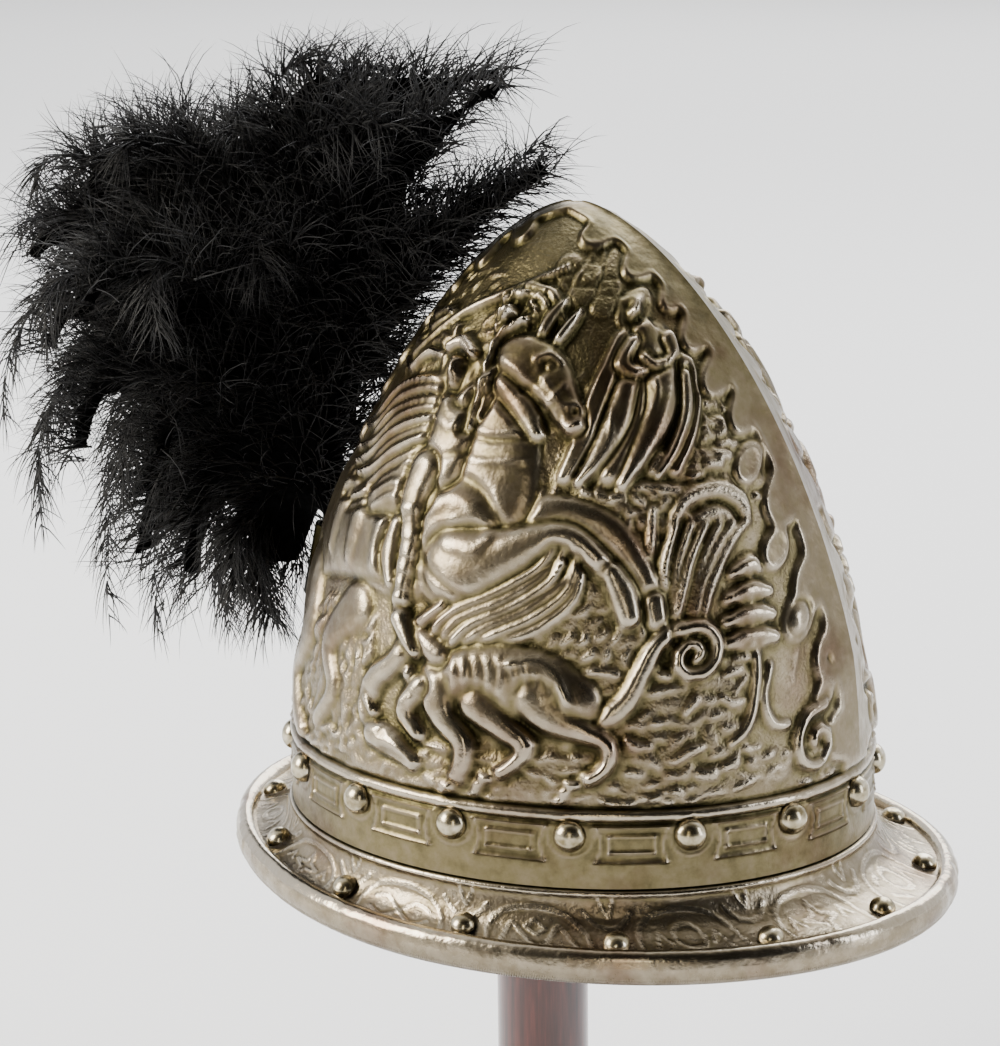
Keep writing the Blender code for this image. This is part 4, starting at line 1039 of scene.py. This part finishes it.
def draw_bay(r, left, gap, depth, kind):
    """One bay of strapwork, from the rivet at left to the next."""
    def at(share, out):
        return (left + gap * share, depth * out)

    outline(r, [at(0.16, 0.95), at(0.17, 0.62), at(0.27, 0.36), at(0.50, 0.26), at(0.73, 0.36),
                at(0.83, 0.62), at(0.84, 0.95)])
    outline(r, [at(-0.16, 0.30), at(-0.08, 0.48), at(0.0, 0.52), at(0.08, 0.48), at(0.16, 0.30)])
    outline(r, [at(-0.05, 0.12), at(0.0, 0.34), at(0.05, 0.12)], 0.9)
    if kind == 0:
        outline(r, [at(0.5 + 0.10 * math.cos(t), 0.66 + 0.19 * math.sin(t))
                    for t in np.linspace(0.0, 2.0 * math.pi, 13)])
        outline(r, [at(0.26, 0.86), at(0.31, 0.60), at(0.37, 0.78)], 0.9)
        outline(r, [at(0.74, 0.86), at(0.69, 0.60), at(0.63, 0.78)], 0.9)
    elif kind == 1:
        outline(r, [at(0.26, 0.84), at(0.34, 0.52), at(0.44, 0.80), at(0.50, 0.90), at(0.56, 0.80),
                    at(0.66, 0.52), at(0.74, 0.84)])
        outline(r, [at(0.43, 0.56), at(0.50, 0.44), at(0.57, 0.56), at(0.50, 0.68), at(0.43, 0.56)], 0.9)
    elif kind == 2:
        outline(r, [at(0.28, 0.56), at(0.38, 0.50), at(0.50, 0.72), at(0.62, 0.92), at(0.73, 0.78)])
        outline(r, [at(0.27, 0.80), at(0.38, 0.92), at(0.50, 0.72), at(0.62, 0.50), at(0.73, 0.58)])
    else:
        outline(r, [at(0.36, 0.68), at(0.47, 0.60), at(0.50, 0.42), at(0.53, 0.60), at(0.64, 0.68),
                    at(0.53, 0.76), at(0.50, 0.92), at(0.47, 0.76), at(0.36, 0.68)], 0.95)
        outline(r, [at(0.24, 0.74), at(0.28, 0.60), at(0.32, 0.74)], 0.9)
        outline(r, [at(0.68, 0.74), at(0.72, 0.60), at(0.76, 0.74)], 0.9)


def brim_relief(around, lengths):
    """Heights in metres over the brim's face: a fillet at the band, then the strapwork."""
    ring = (SKULL_LENGTH + SKULL_WIDTH) / 4.0 + (BRIM_END_REACH + BRIM_SIDE_REACH) / 2.0
    s, m = np.meshgrid(around * ring / MM, lengths)
    m = m / MM
    r = Relief(s, m)
    gap = 2.0 * math.pi * ring / BRIM_RIVETS / MM
    start = gap / 2.0 + BRIM_RIVET_TURN * ring / MM
    for index in range(-1, BRIM_RIVETS + 1):
        draw_bay(r, start + (index - 1) * gap, gap, float(m.max()), (index * 3) % 4)
    r.high += 0.9 * np.exp(-((m - 1.3) / 1.1) ** 2)
    return r.high * MM


# %% Make the brim
Dent = namedtuple("Dent", "around depth spread")
DENTS = (
    Dent(7.0, 0.0007, 2.2), Dent(17.0, 0.0011, 1.5), Dent(24.0, 0.0006, 1.8), Dent(331.0, 0.0004, 2.5),
    Dent(231.0, 0.0004, 2.0), Dent(203.0, 0.0006, 1.6), Dent(120.0, 0.0005, 3.0),
)
LAP = Dent(216.0, -0.0005, 3.6)
WEAR_MIDDLE, WEAR_SPREAD = 20.0, 60.0
CREST_ROWS = 12
FACE_POLISH, FACE_CONTRAST, FACE_SATIN = 0.25, 4.0, 0.3
# The crest's value is rubbing wear and a painted highlight together.
ROLL_POLISH, CREST_POLISH_AND_HIGHLIGHT = 0.3, 1.2


def brim_wear(degrees):
    """How far the rolled edge is dented in, or at the lapped patch built out, round the helmet."""
    worn = sum(dent.depth * np.exp(-((degrees - dent.around) / dent.spread) ** 2) for dent in DENTS)
    return worn + LAP.depth * np.clip((LAP.spread - np.abs(degrees - LAP.around)) / 0.5, 0.0, 1.0)


def face_normals(points):
    """Unit normals of a grid of points, pointing up."""
    along = np.gradient(points, axis=1)
    across = np.gradient(points, axis=0)
    normals = unit(np.cross(along, across))
    return normals * np.sign(normals[..., 2:3])


def make_brim(material):
    around = np.linspace(0.0, 2.0 * math.pi, BRIM_COLUMNS + 1)
    foot, out, width, drop = brim_ring(around)
    up = np.array((0.0, 0.0, 1.0))
    collar = SKULL_WALL + CLEARANCE
    level_foot = np.zeros_like(around)
    level_top = np.full_like(around, COLLAR_HEIGHT / SKULL_HEIGHT)
    inner = np.stack((
        wall(around, level_foot, collar + BRIM_SHEET) - up * (CLEARANCE + BRIM_SHEET),
        wall(around, level_top, collar + BRIM_SHEET),
        wall(around, level_top, collar),
        wall(around, level_foot, collar) - up * CLEARANCE,
    ))

    def placed(reach, level):
        return foot + out * reach[:, None] + up * level[:, None]

    crease_out, crease_level = roll_point(width, drop, CREASE_ANGLE)
    fall = -CLEARANCE - crease_level
    table = np.array([(step.out * crease_out.mean(), step.drop * fall.mean()) for step in BRIM_SLOPE])
    lengths = np.concatenate(([0.0], np.cumsum(np.hypot(*np.diff(table, axis=0).T))))
    fine = np.linspace(0.0, lengths[-1], SLOPE_ROWS)
    curve = smooth_line(np.column_stack((lengths, table)) / MM) * MM
    reaches = np.interp(fine, curve[:, 0], curve[:, 1]) / table[-1, 0]
    drops = np.interp(fine, curve[:, 0], curve[:, 2]) / table[-1, 1]
    face = np.stack([placed(crease_out * reach, -CLEARANCE - fall * down)
                     for reach, down in zip(reaches, drops)])
    pattern = brim_relief(around, fine)
    pattern[:, -1] = pattern[:, 0]
    pattern[0] = 0.0
    face += face_normals(face) * pattern[..., None]
    turns = np.linspace(CREASE_ANGLE - 6, ROLL_END_ANGLE, ROLL_ROWS)
    worn = brim_wear(np.degrees(around))
    roll = []
    for turn in turns:
        groove = sum(math.exp(-((turn - middle) / GROOVE_SPREAD) ** 2) for middle in GROOVES)
        depth = GROOVE_DEPTH * groove + worn * math.exp(-((turn - WEAR_MIDDLE) / WEAR_SPREAD) ** 2)
        roll.append(placed(*roll_point(width - depth, drop, turn)))
    under = [placed(crease_out * step.out - BRIM_SHEET, -CLEARANCE - fall * step.drop - BRIM_SHEET)
             for step in BRIM_SLOPE[4:0:-1]]
    points = np.concatenate((inner, face, roll, under, inner[:1])) + FOOT
    mesh, row, column = grid_mesh("brim_ring", BRIM_COLUMNS, len(points) - 1, points)
    face_rows = slice(len(inner), len(inner) + SLOPE_ROWS)
    roll_rows = slice(face_rows.stop, face_rows.stop + ROLL_ROWS)
    polish_and_painted_light, satin, milled = np.zeros((3, *points.shape[:2]))
    polish_and_painted_light[face_rows] = (pattern - blurred(pattern, 8)) / MM * FACE_CONTRAST + FACE_POLISH
    polish_and_painted_light[roll_rows] = ROLL_POLISH
    # The roll's crest is rubbed bright, and is lightened further as a painted highlight.
    polish_and_painted_light[face_rows.stop:face_rows.stop + CREST_ROWS] = CREST_POLISH_AND_HIGHLIGHT
    satin[face_rows] = FACE_SATIN
    milled[roll_rows] = ((turns < MILL_TOP) & (turns > MILL_END))[:, None]
    for name, values in (("polish_and_painted_light", polish_and_painted_light), ("rough", satin), ("milled", milled)):
        set_attribute(mesh, name, values[row, column])
    set_attribute(mesh, "arc", around[column] * (SKULL_LENGTH / 2.0 + BRIM_END_REACH) / MM)
    close_up(mesh)
    return finish_piece("brim_ring", mesh, material, "helmet_metal", "brim", sharp=50)


make_brim(white_brass)

# %% [markdown]
# ## Rivets
#
# Each rivet is a low dome, hammered over and polished by hands and cloths. A half profile spun round
# its own axis gives it, turned and placed where the construction model has its rivet. The tube that
# holds the plume keeps its construction solid, in the helmet's metal at its darkest: painted shade.

# %% Make the rivets
RIVET_SIDES = 24
RIVET_ROWS = 7
RIM_CORNERS = 8


def spun(profile, sides):
    """A closed solid from a profile of (reach, level) points, spun about the Z axis."""
    bm = bmesh.new()
    points = [bm.verts.new((reach, 0.0, level)) for reach, level in profile]
    lines = [bm.edges.new(pair) for pair in zip(points, points[1:])]
    bmesh.ops.spin(bm, geom=points + lines, cent=(0, 0, 0), axis=(0, 0, 1), dvec=(0, 0, 0),
                   angle=2.0 * math.pi, steps=sides, use_merge=True, use_duplicate=False)
    bmesh.ops.remove_doubles(bm, verts=bm.verts, dist=0.00001)
    bmesh.ops.holes_fill(bm, edges=[edge for edge in bm.edges if edge.is_boundary], sides=0)
    bmesh.ops.recalc_face_normals(bm, faces=bm.faces)
    return bm


def seat(node):
    """The middle of a rivet's flat back, its direction, width and height, read from its corners."""
    corners = np.array([node.matrix_world @ vertex.co for vertex in node.data.vertices])
    corners = np.unique(np.round(corners, 6), axis=0)
    middle = corners.mean(axis=0)
    spread = np.linalg.norm(corners - middle, axis=1)
    rim = corners[np.argsort(spread)[-RIM_CORNERS:]]
    back = rim.mean(axis=0)
    axis = unit(np.linalg.svd(rim - back)[2][2])
    axis = axis * np.sign((middle - back) @ axis)
    height = ((corners - back) @ axis).max()
    return back, axis, 2.0 * np.linalg.norm(rim - back, axis=1).mean(), height


def make_rivets(piece, prefix, material):
    names = sorted(name for name in nodes if name.startswith(prefix))
    together = bmesh.new()
    for name in names:
        back, axis, width, height = seat(nodes[name])
        head = spun([(width / 2.0 * math.sin(turn), height * math.cos(turn))
                     for turn in np.linspace(0.0, math.pi / 2.0, RIVET_ROWS)], RIVET_SIDES)
        turn = Vector(axis).to_track_quat("Z", "Y").to_matrix().to_4x4()
        head.transform(Matrix.Translation(Vector(back)) @ turn)
        mesh = bpy.data.meshes.new(name)
        head.to_mesh(mesh)
        head.free()
        together.from_mesh(mesh)
        bpy.data.meshes.remove(mesh)
    mesh = bpy.data.meshes.new(piece)
    together.to_mesh(mesh)
    together.free()
    return finish_piece(piece, mesh, material, "rivet_metal", *names, sharp=60)


def make_rivet_metal():
    material, tree, shader = new_material("polished_nickel_silver")
    shader.inputs["Metallic"].default_value = 1.0
    shader.inputs["Roughness"].default_value = 0.24
    place = add_node(tree, "ShaderNodeTexCoord")
    spots = add_node(tree, "ShaderNodeTexNoise", {}, {
        "Vector": place.outputs["Object"], "Scale": 1.0 / (4 * MM), "Detail": 4.0})
    colour = add_node(tree, "ShaderNodeValToRGB", {}, {"Fac": spots.outputs["Fac"]}, (
        (0.3, "#776c50"), (0.55, "#b5ab92"), (0.75, "#d6cebb")))
    tree.links.new(colour.outputs["Color"], shader.inputs["Base Color"])
    dents = add_node(tree, "ShaderNodeBump", {}, {
        "Height": spots.outputs["Fac"], "Strength": 0.3, "Distance": 0.3 * MM})
    tree.links.new(dents.outputs["Normal"], shader.inputs["Normal"])
    return material


rivet_metal = make_rivet_metal()
make_rivets("band_rivets", "band_rivet_", rivet_metal)
make_rivets("brim_rivets", "brim_rivet_", rivet_metal)

# %% The plume's socket
# The socket takes the darkest colour of the metal: painted shade.
SOCKET_PAINTED_SHADE = -1.5
socket = nodes["plume_socket"].data
socket.materials.clear()
socket.materials.append(white_brass)
set_attribute(socket, "polish_and_painted_light", np.full(len(socket.vertices), SOCKET_PAINTED_SHADE))
print("socket corners:", len(socket.vertices))

# %% [markdown]
# ## Stained wood
#
# The stand is turned hardwood, stained a dark red-brown and varnished to a gloss. Post and foot are
# spun anew, rounder and with a softened upper edge. The head inside the helmet keeps its construction
# solid. Grain runs along the post: noise that is squeezed across and stretched along it.

# %% The stand's wood
WOOD_SIDES = 96
POST_EDGE = 0.0005
FOOT_EDGE = 0.007


def make_wood():
    material, tree, shader = new_material("varnished_mahogany")
    place = add_node(tree, "ShaderNodeTexCoord")
    along = add_node(tree, "ShaderNodeMapping", {}, {
        "Vector": place.outputs["Object"], "Scale": (1.0, 1.0, 0.06)})
    grain = add_node(tree, "ShaderNodeTexNoise", {}, {
        "Vector": along.outputs["Vector"], "Scale": 1.0 / (2.5 * MM), "Detail": 5.0, "Roughness": 0.6})
    colour = add_node(tree, "ShaderNodeValToRGB", {}, {"Fac": grain.outputs["Fac"]}, (
        (0.3, "#220d0c"), (0.55, "#4a1d18"), (0.8, "#6b3026")))
    tree.links.new(colour.outputs["Color"], shader.inputs["Base Color"])
    shader.inputs["Roughness"].default_value = 0.32
    shader.inputs["Coat Weight"].default_value = 0.7
    shader.inputs["Coat Roughness"].default_value = 0.12
    bump = add_node(tree, "ShaderNodeBump", {}, {
        "Height": grain.outputs["Fac"], "Strength": 0.2, "Distance": 0.2 * MM})
    tree.links.new(bump.outputs["Normal"], shader.inputs["Normal"])
    return material


def turned_piece(name, node_name, edge, material):
    """A turned solid of the size of a construction piece, its upper edge rounded by edge."""
    low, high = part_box(node_name)
    radius = (high.x - low.x) / 2.0
    profile = [(0.0, high.z)]
    for turn in np.linspace(0.0, math.pi / 2.0, 9):
        profile.append((radius - edge + edge * math.sin(turn), high.z - edge + edge * math.cos(turn)))
    bm = spun(profile + [(radius, low.z), (0.0, low.z)], WOOD_SIDES)
    mesh = bpy.data.meshes.new(name)
    bm.to_mesh(mesh)
    bm.free()
    return finish_piece(name, mesh, material, "wood", node_name, sharp=35)


wood = make_wood()
turned_piece("turned_post", "stand_post", POST_EDGE, wood)
turned_piece("turned_foot", "stand_base", FOOT_EDGE, wood)
nodes["stand_head"].data.materials.clear()
nodes["stand_head"].data.materials.append(wood)

# %% [markdown]
# ## The plume
#
# Black ostrich feathers, wired to a short stem. Each feather has a soft shaft that arches over, with
# hundreds of long loose barbs. Blender's hair would give them as curves, but a mesh can be kept as a
# solid, so every barb is a thin tapering spike with three sides. All of them are worked out at once
# as arrays. The construction model's own plume, drawn in a little, is the dark mass behind them.

# %% Where the feathers lie
PLUME_REACH = 0.1450
PLUME_HEIGHT = 0.1800
PLUME_SPREAD = 0.0620
SHAFT_LEAN = 0.15
Feather = namedtuple("Feather", "back side up rise swing crown")
FEATHERS = [Feather(*row) for row in (
    (-0.80, 0.05, 0.86, 0.30, 0.35, -0.20), (-0.72, -0.30, 1.00, 0.50, 0.45, -0.16),
    (-0.60, 0.30, 0.78, 0.35, 0.35, -0.15), (-0.45, -0.25, 0.66, 0.35, 0.30, -0.10),
    (-0.60, 0.30, 0.96, 0.70, 0.40, 0.05), (-0.45, -0.45, 0.88, 0.70, 0.30, 0.05),
    (-0.30, 0.10, 0.98, 0.70, 0.25, 0.03), (-0.14, -0.25, 1.00, 0.65, 0.15, 0.00),
    (-0.02, 0.45, 0.93, 0.60, 0.05, 0.03), (0.08, -0.20, 0.88, 0.60, 0.05, 0.05),
    (0.24, 0.25, 0.84, 0.60, 0.05, 0.08), (0.42, -0.35, 0.79, 0.65, 0.00, 0.12),
    (0.60, 0.20, 0.79, 0.70, 0.00, 0.12), (0.78, -0.20, 0.70, 0.75, 0.00, 0.16),
    (0.93, 0.25, 0.55, 0.80, 0.00, 0.22), (1.00, -0.10, 0.42, 0.80, 0.00, 0.30),
    (0.96, 0.30, 0.30, 0.80, 0.00, 0.36), (0.90, -0.30, 0.16, 0.80, 0.00, 0.42),
    (0.84, 0.20, 0.02, 0.75, 0.02, 0.50), (0.80, -0.25, -0.10, 0.70, 0.04, 0.55),
    (0.72, 0.25, -0.22, 0.65, 0.05, 0.60), (0.62, -0.10, -0.33, 0.60, 0.05, 0.60),
    (0.51, 0.20, -0.39, 0.55, 0.06, 0.60), (0.40, -0.25, -0.33, 0.45, 0.08, 0.50),
    (0.30, 0.15, -0.28, 0.35, 0.10, 0.45), (0.20, -0.10, -0.30, 0.20, 0.12, 0.40),
    (0.12, 0.15, -0.30, 0.10, 0.12, 0.30), (0.15, -0.95, 0.45, 0.60, 0.10, 0.25),
    (0.15, 0.95, 0.45, 0.60, 0.10, 0.25), (0.50, -1.00, 0.40, 0.60, 0.05, 0.30),
    (0.50, 1.00, 0.40, 0.60, 0.05, 0.30), (0.30, -0.90, 0.05, 0.50, 0.05, 0.35),
    (0.35, 0.90, 0.05, 0.50, 0.05, 0.35), (0.60, -0.85, 0.05, 0.55, 0.05, 0.40),
    (0.60, 0.85, 0.05, 0.55, 0.05, 0.40), (-0.10, -0.60, 0.58, 0.50, 0.10, 0.15),
    (-0.25, 0.60, 0.50, 0.50, 0.10, 0.15), (-0.15, 0.65, 0.25, 0.35, 0.10, 0.15),
    (-0.02, 0.55, 0.02, 0.25, 0.10, 0.15), (0.04, -0.20, -0.24, 0.02, 0.06, 0.10),
    (0.08, -0.40, -0.16, 0.04, 0.06, 0.10),
)]
SOCKET_LOW, SOCKET_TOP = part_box("plume_socket")
ROOT_OFF = 0.004
ROOT = np.array((SOCKET_LOW.x - ROOT_OFF, 0.0, SOCKET_TOP.z + ROOT_OFF))


def shaft(feather, share):
    """Points on a feather's shaft at an array of shares of its length."""
    tip = ROOT + np.array((-feather.back * PLUME_REACH, feather.side * PLUME_SPREAD,
                           feather.up * PLUME_HEIGHT))
    first = ROOT + np.array((-SHAFT_LEAN * PLUME_REACH, 0.0, feather.rise * PLUME_HEIGHT))
    second = tip + np.array((-feather.swing * PLUME_REACH, 0.0, feather.crown * PLUME_HEIGHT))
    t = share[:, None]
    one = 1.0 - t
    return one ** 3 * ROOT + 3 * one ** 2 * t * first + 3 * one * t ** 2 * second + t ** 3 * tip


def clear_of_bowl(points, margin):
    """Points pushed out of the room that the bowl takes up."""
    local = points - FOOT
    width = bowl_share(local[..., 2] / SKULL_HEIGHT)
    spread = np.hypot(local[..., 0] / (SKULL_LENGTH / 2.0 * width + margin),
                      local[..., 1] / (SKULL_WIDTH / 2.0 * width + margin))
    inside = (spread < 1.0) & (local[..., 2] < SKULL_HEIGHT)
    push = np.where(inside, 1.0 / np.maximum(spread, 0.2), 1.0)
    return points + local * ((push - 1.0)[..., None] * np.array((1.0, 1.0, 0.0)))


print("feathers:", len(FEATHERS))

# %% [markdown]
# A barb leaves its shaft sideways and ahead, curls a little and sags. It is walked in a few steps,
# for all barbs of a feather at once. More barbs are rooted all over the outer form, as the downy coat
# that hides it. Those that would reach too far past the construction model's plume are left out.

# %% Barbs
BARB_STEPS = 5
BARB_WIDTH = 0.00075
BARB_CLEARANCE = 0.0045
CORE_INSET = 0.0045
BARBS_EACH = 190
COAT_BARBS = 3300
SPILL = 0.014
SAG = np.array((0.0, 0.0, -1.0))


def barb_lines(feather, chance, count):
    """Lines of count barbs on both sides of one feather, as an array of barbs by steps by 3."""
    share = chance.uniform(0.10, 1.0, count) ** 0.85
    start = shaft(feather, share)
    along = unit(shaft(feather, share + 0.01) - start)
    lean = np.array((-feather.back, feather.side, 0.30))
    across = unit(np.cross(along, lean))
    thick = np.cross(across, along)
    side = np.where(chance.uniform(size=count) < 0.5, -1.0, 1.0)[:, None]
    rise = chance.uniform(-1.0, 1.0, count)[:, None]
    ahead = chance.uniform(0.5, 1.3, count)[:, None]
    heading = unit(across * side + thick * rise * 0.9 + along * ahead)
    length = chance.uniform(0.020, 0.040, count) * (0.55 + 0.45 * np.sin(math.pi * share ** 1.4))
    curl = chance.uniform(-0.25, 0.5, count)[:, None]
    lines = [start]
    step = (length / (BARB_STEPS - 1))[:, None]
    for index in range(1, BARB_STEPS):
        t = index / (BARB_STEPS - 1)
        sag = SAG * (0.16 + 0.30 * t * chance.uniform(0.2, 1.0, (count, 1)))
        heading = unit(heading + along * 0.10 + sag + np.cross(heading, thick) * curl * 0.5
                       + chance.uniform(-0.10, 0.10, (count, 3)))
        lines.append(lines[-1] + heading * step)
    return np.stack(lines, axis=1)


def spikes(lines, width):
    """Closed three-sided spikes along lines (spikes by steps by 3): corners and faces."""
    count, steps = lines.shape[:2]
    along = unit(np.gradient(lines, axis=1))
    across = unit(np.cross(along, np.array((0.31, 0.87, 0.38))))
    beside = np.cross(along, across)
    taper = np.linspace(1.0, 0.22, steps)[None, :, None, None] * width[:, None, None, None] / 2.0
    turns = np.arange(3) * 2.0 * math.pi / 3.0
    rings = (lines[:, :, None] + taper * (across[:, :, None] * np.cos(turns)[:, None]
                                          + beside[:, :, None] * np.sin(turns)[:, None]))
    rings = rings[:, :-1].reshape(count, -1, 3)
    corners = np.concatenate((rings, lines[:, -1:]), axis=1)
    each = corners.shape[1]
    faces = [(2, 1, 0)]
    for ring in range(steps - 2):
        for i in range(3):
            a, b = ring * 3 + i, ring * 3 + (i + 1) % 3
            faces += [(a, b, b + 3), (a, b + 3, a + 3)]
    last = (steps - 2) * 3
    faces += [(last + i, last + (i + 1) % 3, each - 1) for i in range(3)]
    faces = np.array(faces)[None] + (np.arange(count) * each)[:, None, None]
    return corners.reshape(-1, 3), faces.reshape(-1, 3)


def triangle_mesh(name, corners, faces):
    mesh = bpy.data.meshes.new(name)
    mesh.vertices.add(len(corners))
    mesh.vertices.foreach_set("co", corners.astype(np.float32).ravel())
    mesh.loops.add(faces.size)
    mesh.loops.foreach_set("vertex_index", faces.astype(np.int32).ravel())
    mesh.polygons.add(len(faces))
    mesh.polygons.foreach_set("loop_start", np.arange(0, faces.size, 3, dtype=np.int32))
    mesh.update(calc_edges=True)
    mesh.validate()
    return mesh


def coat_lines(chance, count):
    """Lines of barbs that lie over the outer form, rooted all over the construction model's plume."""
    plume = nodes["plume"]
    plume.data.calc_loop_triangles()
    corners = np.array([plume.matrix_world @ vertex.co for vertex in plume.data.vertices])
    triangles = corners[np.array([triangle.vertices[:] for triangle in plume.data.loop_triangles])]
    square = np.cross(triangles[:, 1] - triangles[:, 0], triangles[:, 2] - triangles[:, 0])
    area = np.linalg.norm(square, axis=1)
    pick = chance.choice(len(triangles), count, p=area / area.sum())
    mix = chance.dirichlet((1.0, 1.0, 1.0), count)
    outward = unit(square[pick])
    start = (triangles[pick] * mix[..., None]).sum(axis=1) - outward * CORE_INSET
    away = unit(start - ROOT)
    heading = unit(away * 0.9 + outward * 0.45 + chance.uniform(-0.45, 0.45, (count, 3)))
    step = (chance.uniform(0.018, 0.036, count) / (BARB_STEPS - 1))[:, None]
    bend = unit(np.cross(away, chance.uniform(-1.0, 1.0, (count, 3)))) * 0.22
    lines = [start]
    for index in range(1, BARB_STEPS):
        heading = unit(heading + bend + SAG * 0.16 + chance.uniform(-0.08, 0.08, (count, 3)))
        lines.append(lines[-1] + heading * step)
    return np.stack(lines, axis=1)


def make_barbs(name, feathers, per_feather, seed, material):
    chance = np.random.RandomState(seed)
    lines = [barb_lines(feather, chance, per_feather) for feather in feathers]
    lines = np.concatenate(lines + [coat_lines(chance, COAT_BARBS)])
    lines = clear_of_bowl(lines, BARB_CLEARANCE)
    low, high = (np.array(corner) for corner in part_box("plume"))
    kept = ((lines > low - SPILL) & (lines < high + SPILL)).all(axis=(1, 2))
    lines = lines[kept]
    width = BARB_WIDTH * chance.uniform(0.7, 1.2, len(lines))
    mesh = triangle_mesh(name, *spikes(lines, width))
    return finish_piece(name, mesh, material, "feather", sharp=180)


def make_core(material):
    """The construction model's plume, drawn in along its normals."""
    bm = bmesh.new()
    bm.from_mesh(nodes["plume"].data)
    bm.transform(nodes["plume"].matrix_world)
    bmesh.ops.remove_doubles(bm, verts=bm.verts, dist=0.00001)
    bmesh.ops.subdivide_edges(bm, edges=bm.edges, cuts=1, use_grid_fill=True)
    for _ in range(3):
        bmesh.ops.smooth_vert(bm, verts=bm.verts, factor=0.5,
                              use_axis_x=True, use_axis_y=True, use_axis_z=True)
    bm.normal_update()
    for vertex in bm.verts:
        reach = min((vertex.co - Vector(ROOT)).length / 0.05, 1.0)
        vertex.co -= vertex.normal * CORE_INSET * reach
    mesh = bpy.data.meshes.new("plume_core")
    bm.to_mesh(mesh)
    bm.free()
    return finish_piece("plume_core", mesh, material, "feather", "plume", sharp=180)


# %% Make the plume


def make_feather(name, strand, detail, shades, roughness, gloss):
    """A feather's black: strand is the size of its lights and darks, shades their two colours."""
    material, tree, shader = new_material(name)
    place = add_node(tree, "ShaderNodeTexCoord")
    strands = add_node(tree, "ShaderNodeTexNoise", {}, {
        "Vector": place.outputs["Object"], "Scale": 1.0 / strand, "Detail": detail})
    colour = add_node(tree, "ShaderNodeValToRGB", {}, {"Fac": strands.outputs["Fac"]}, shades)
    tree.links.new(colour.outputs["Color"], shader.inputs["Base Color"])
    shader.inputs["Roughness"].default_value = roughness
    shader.inputs["Specular IOR Level"].default_value = gloss
    return material


feather_black = make_feather(
    "black_ostrich_feather", 5 * MM, 5.0, ((0.35, "#030303"), (0.7, "#0e0d0f")), 0.55, 0.35)
shadow_black = make_feather(
    "feather_down_in_shadow", 3 * MM, 3.0, ((0.4, "#020202"), (0.7, "#070708")), 0.95, 0.02)
make_core(shadow_black)
for index in range(3):
    make_barbs(f"plume_barbs_{index + 1}", FEATHERS[index::3], BARBS_EACH, 40 + index, feather_black)
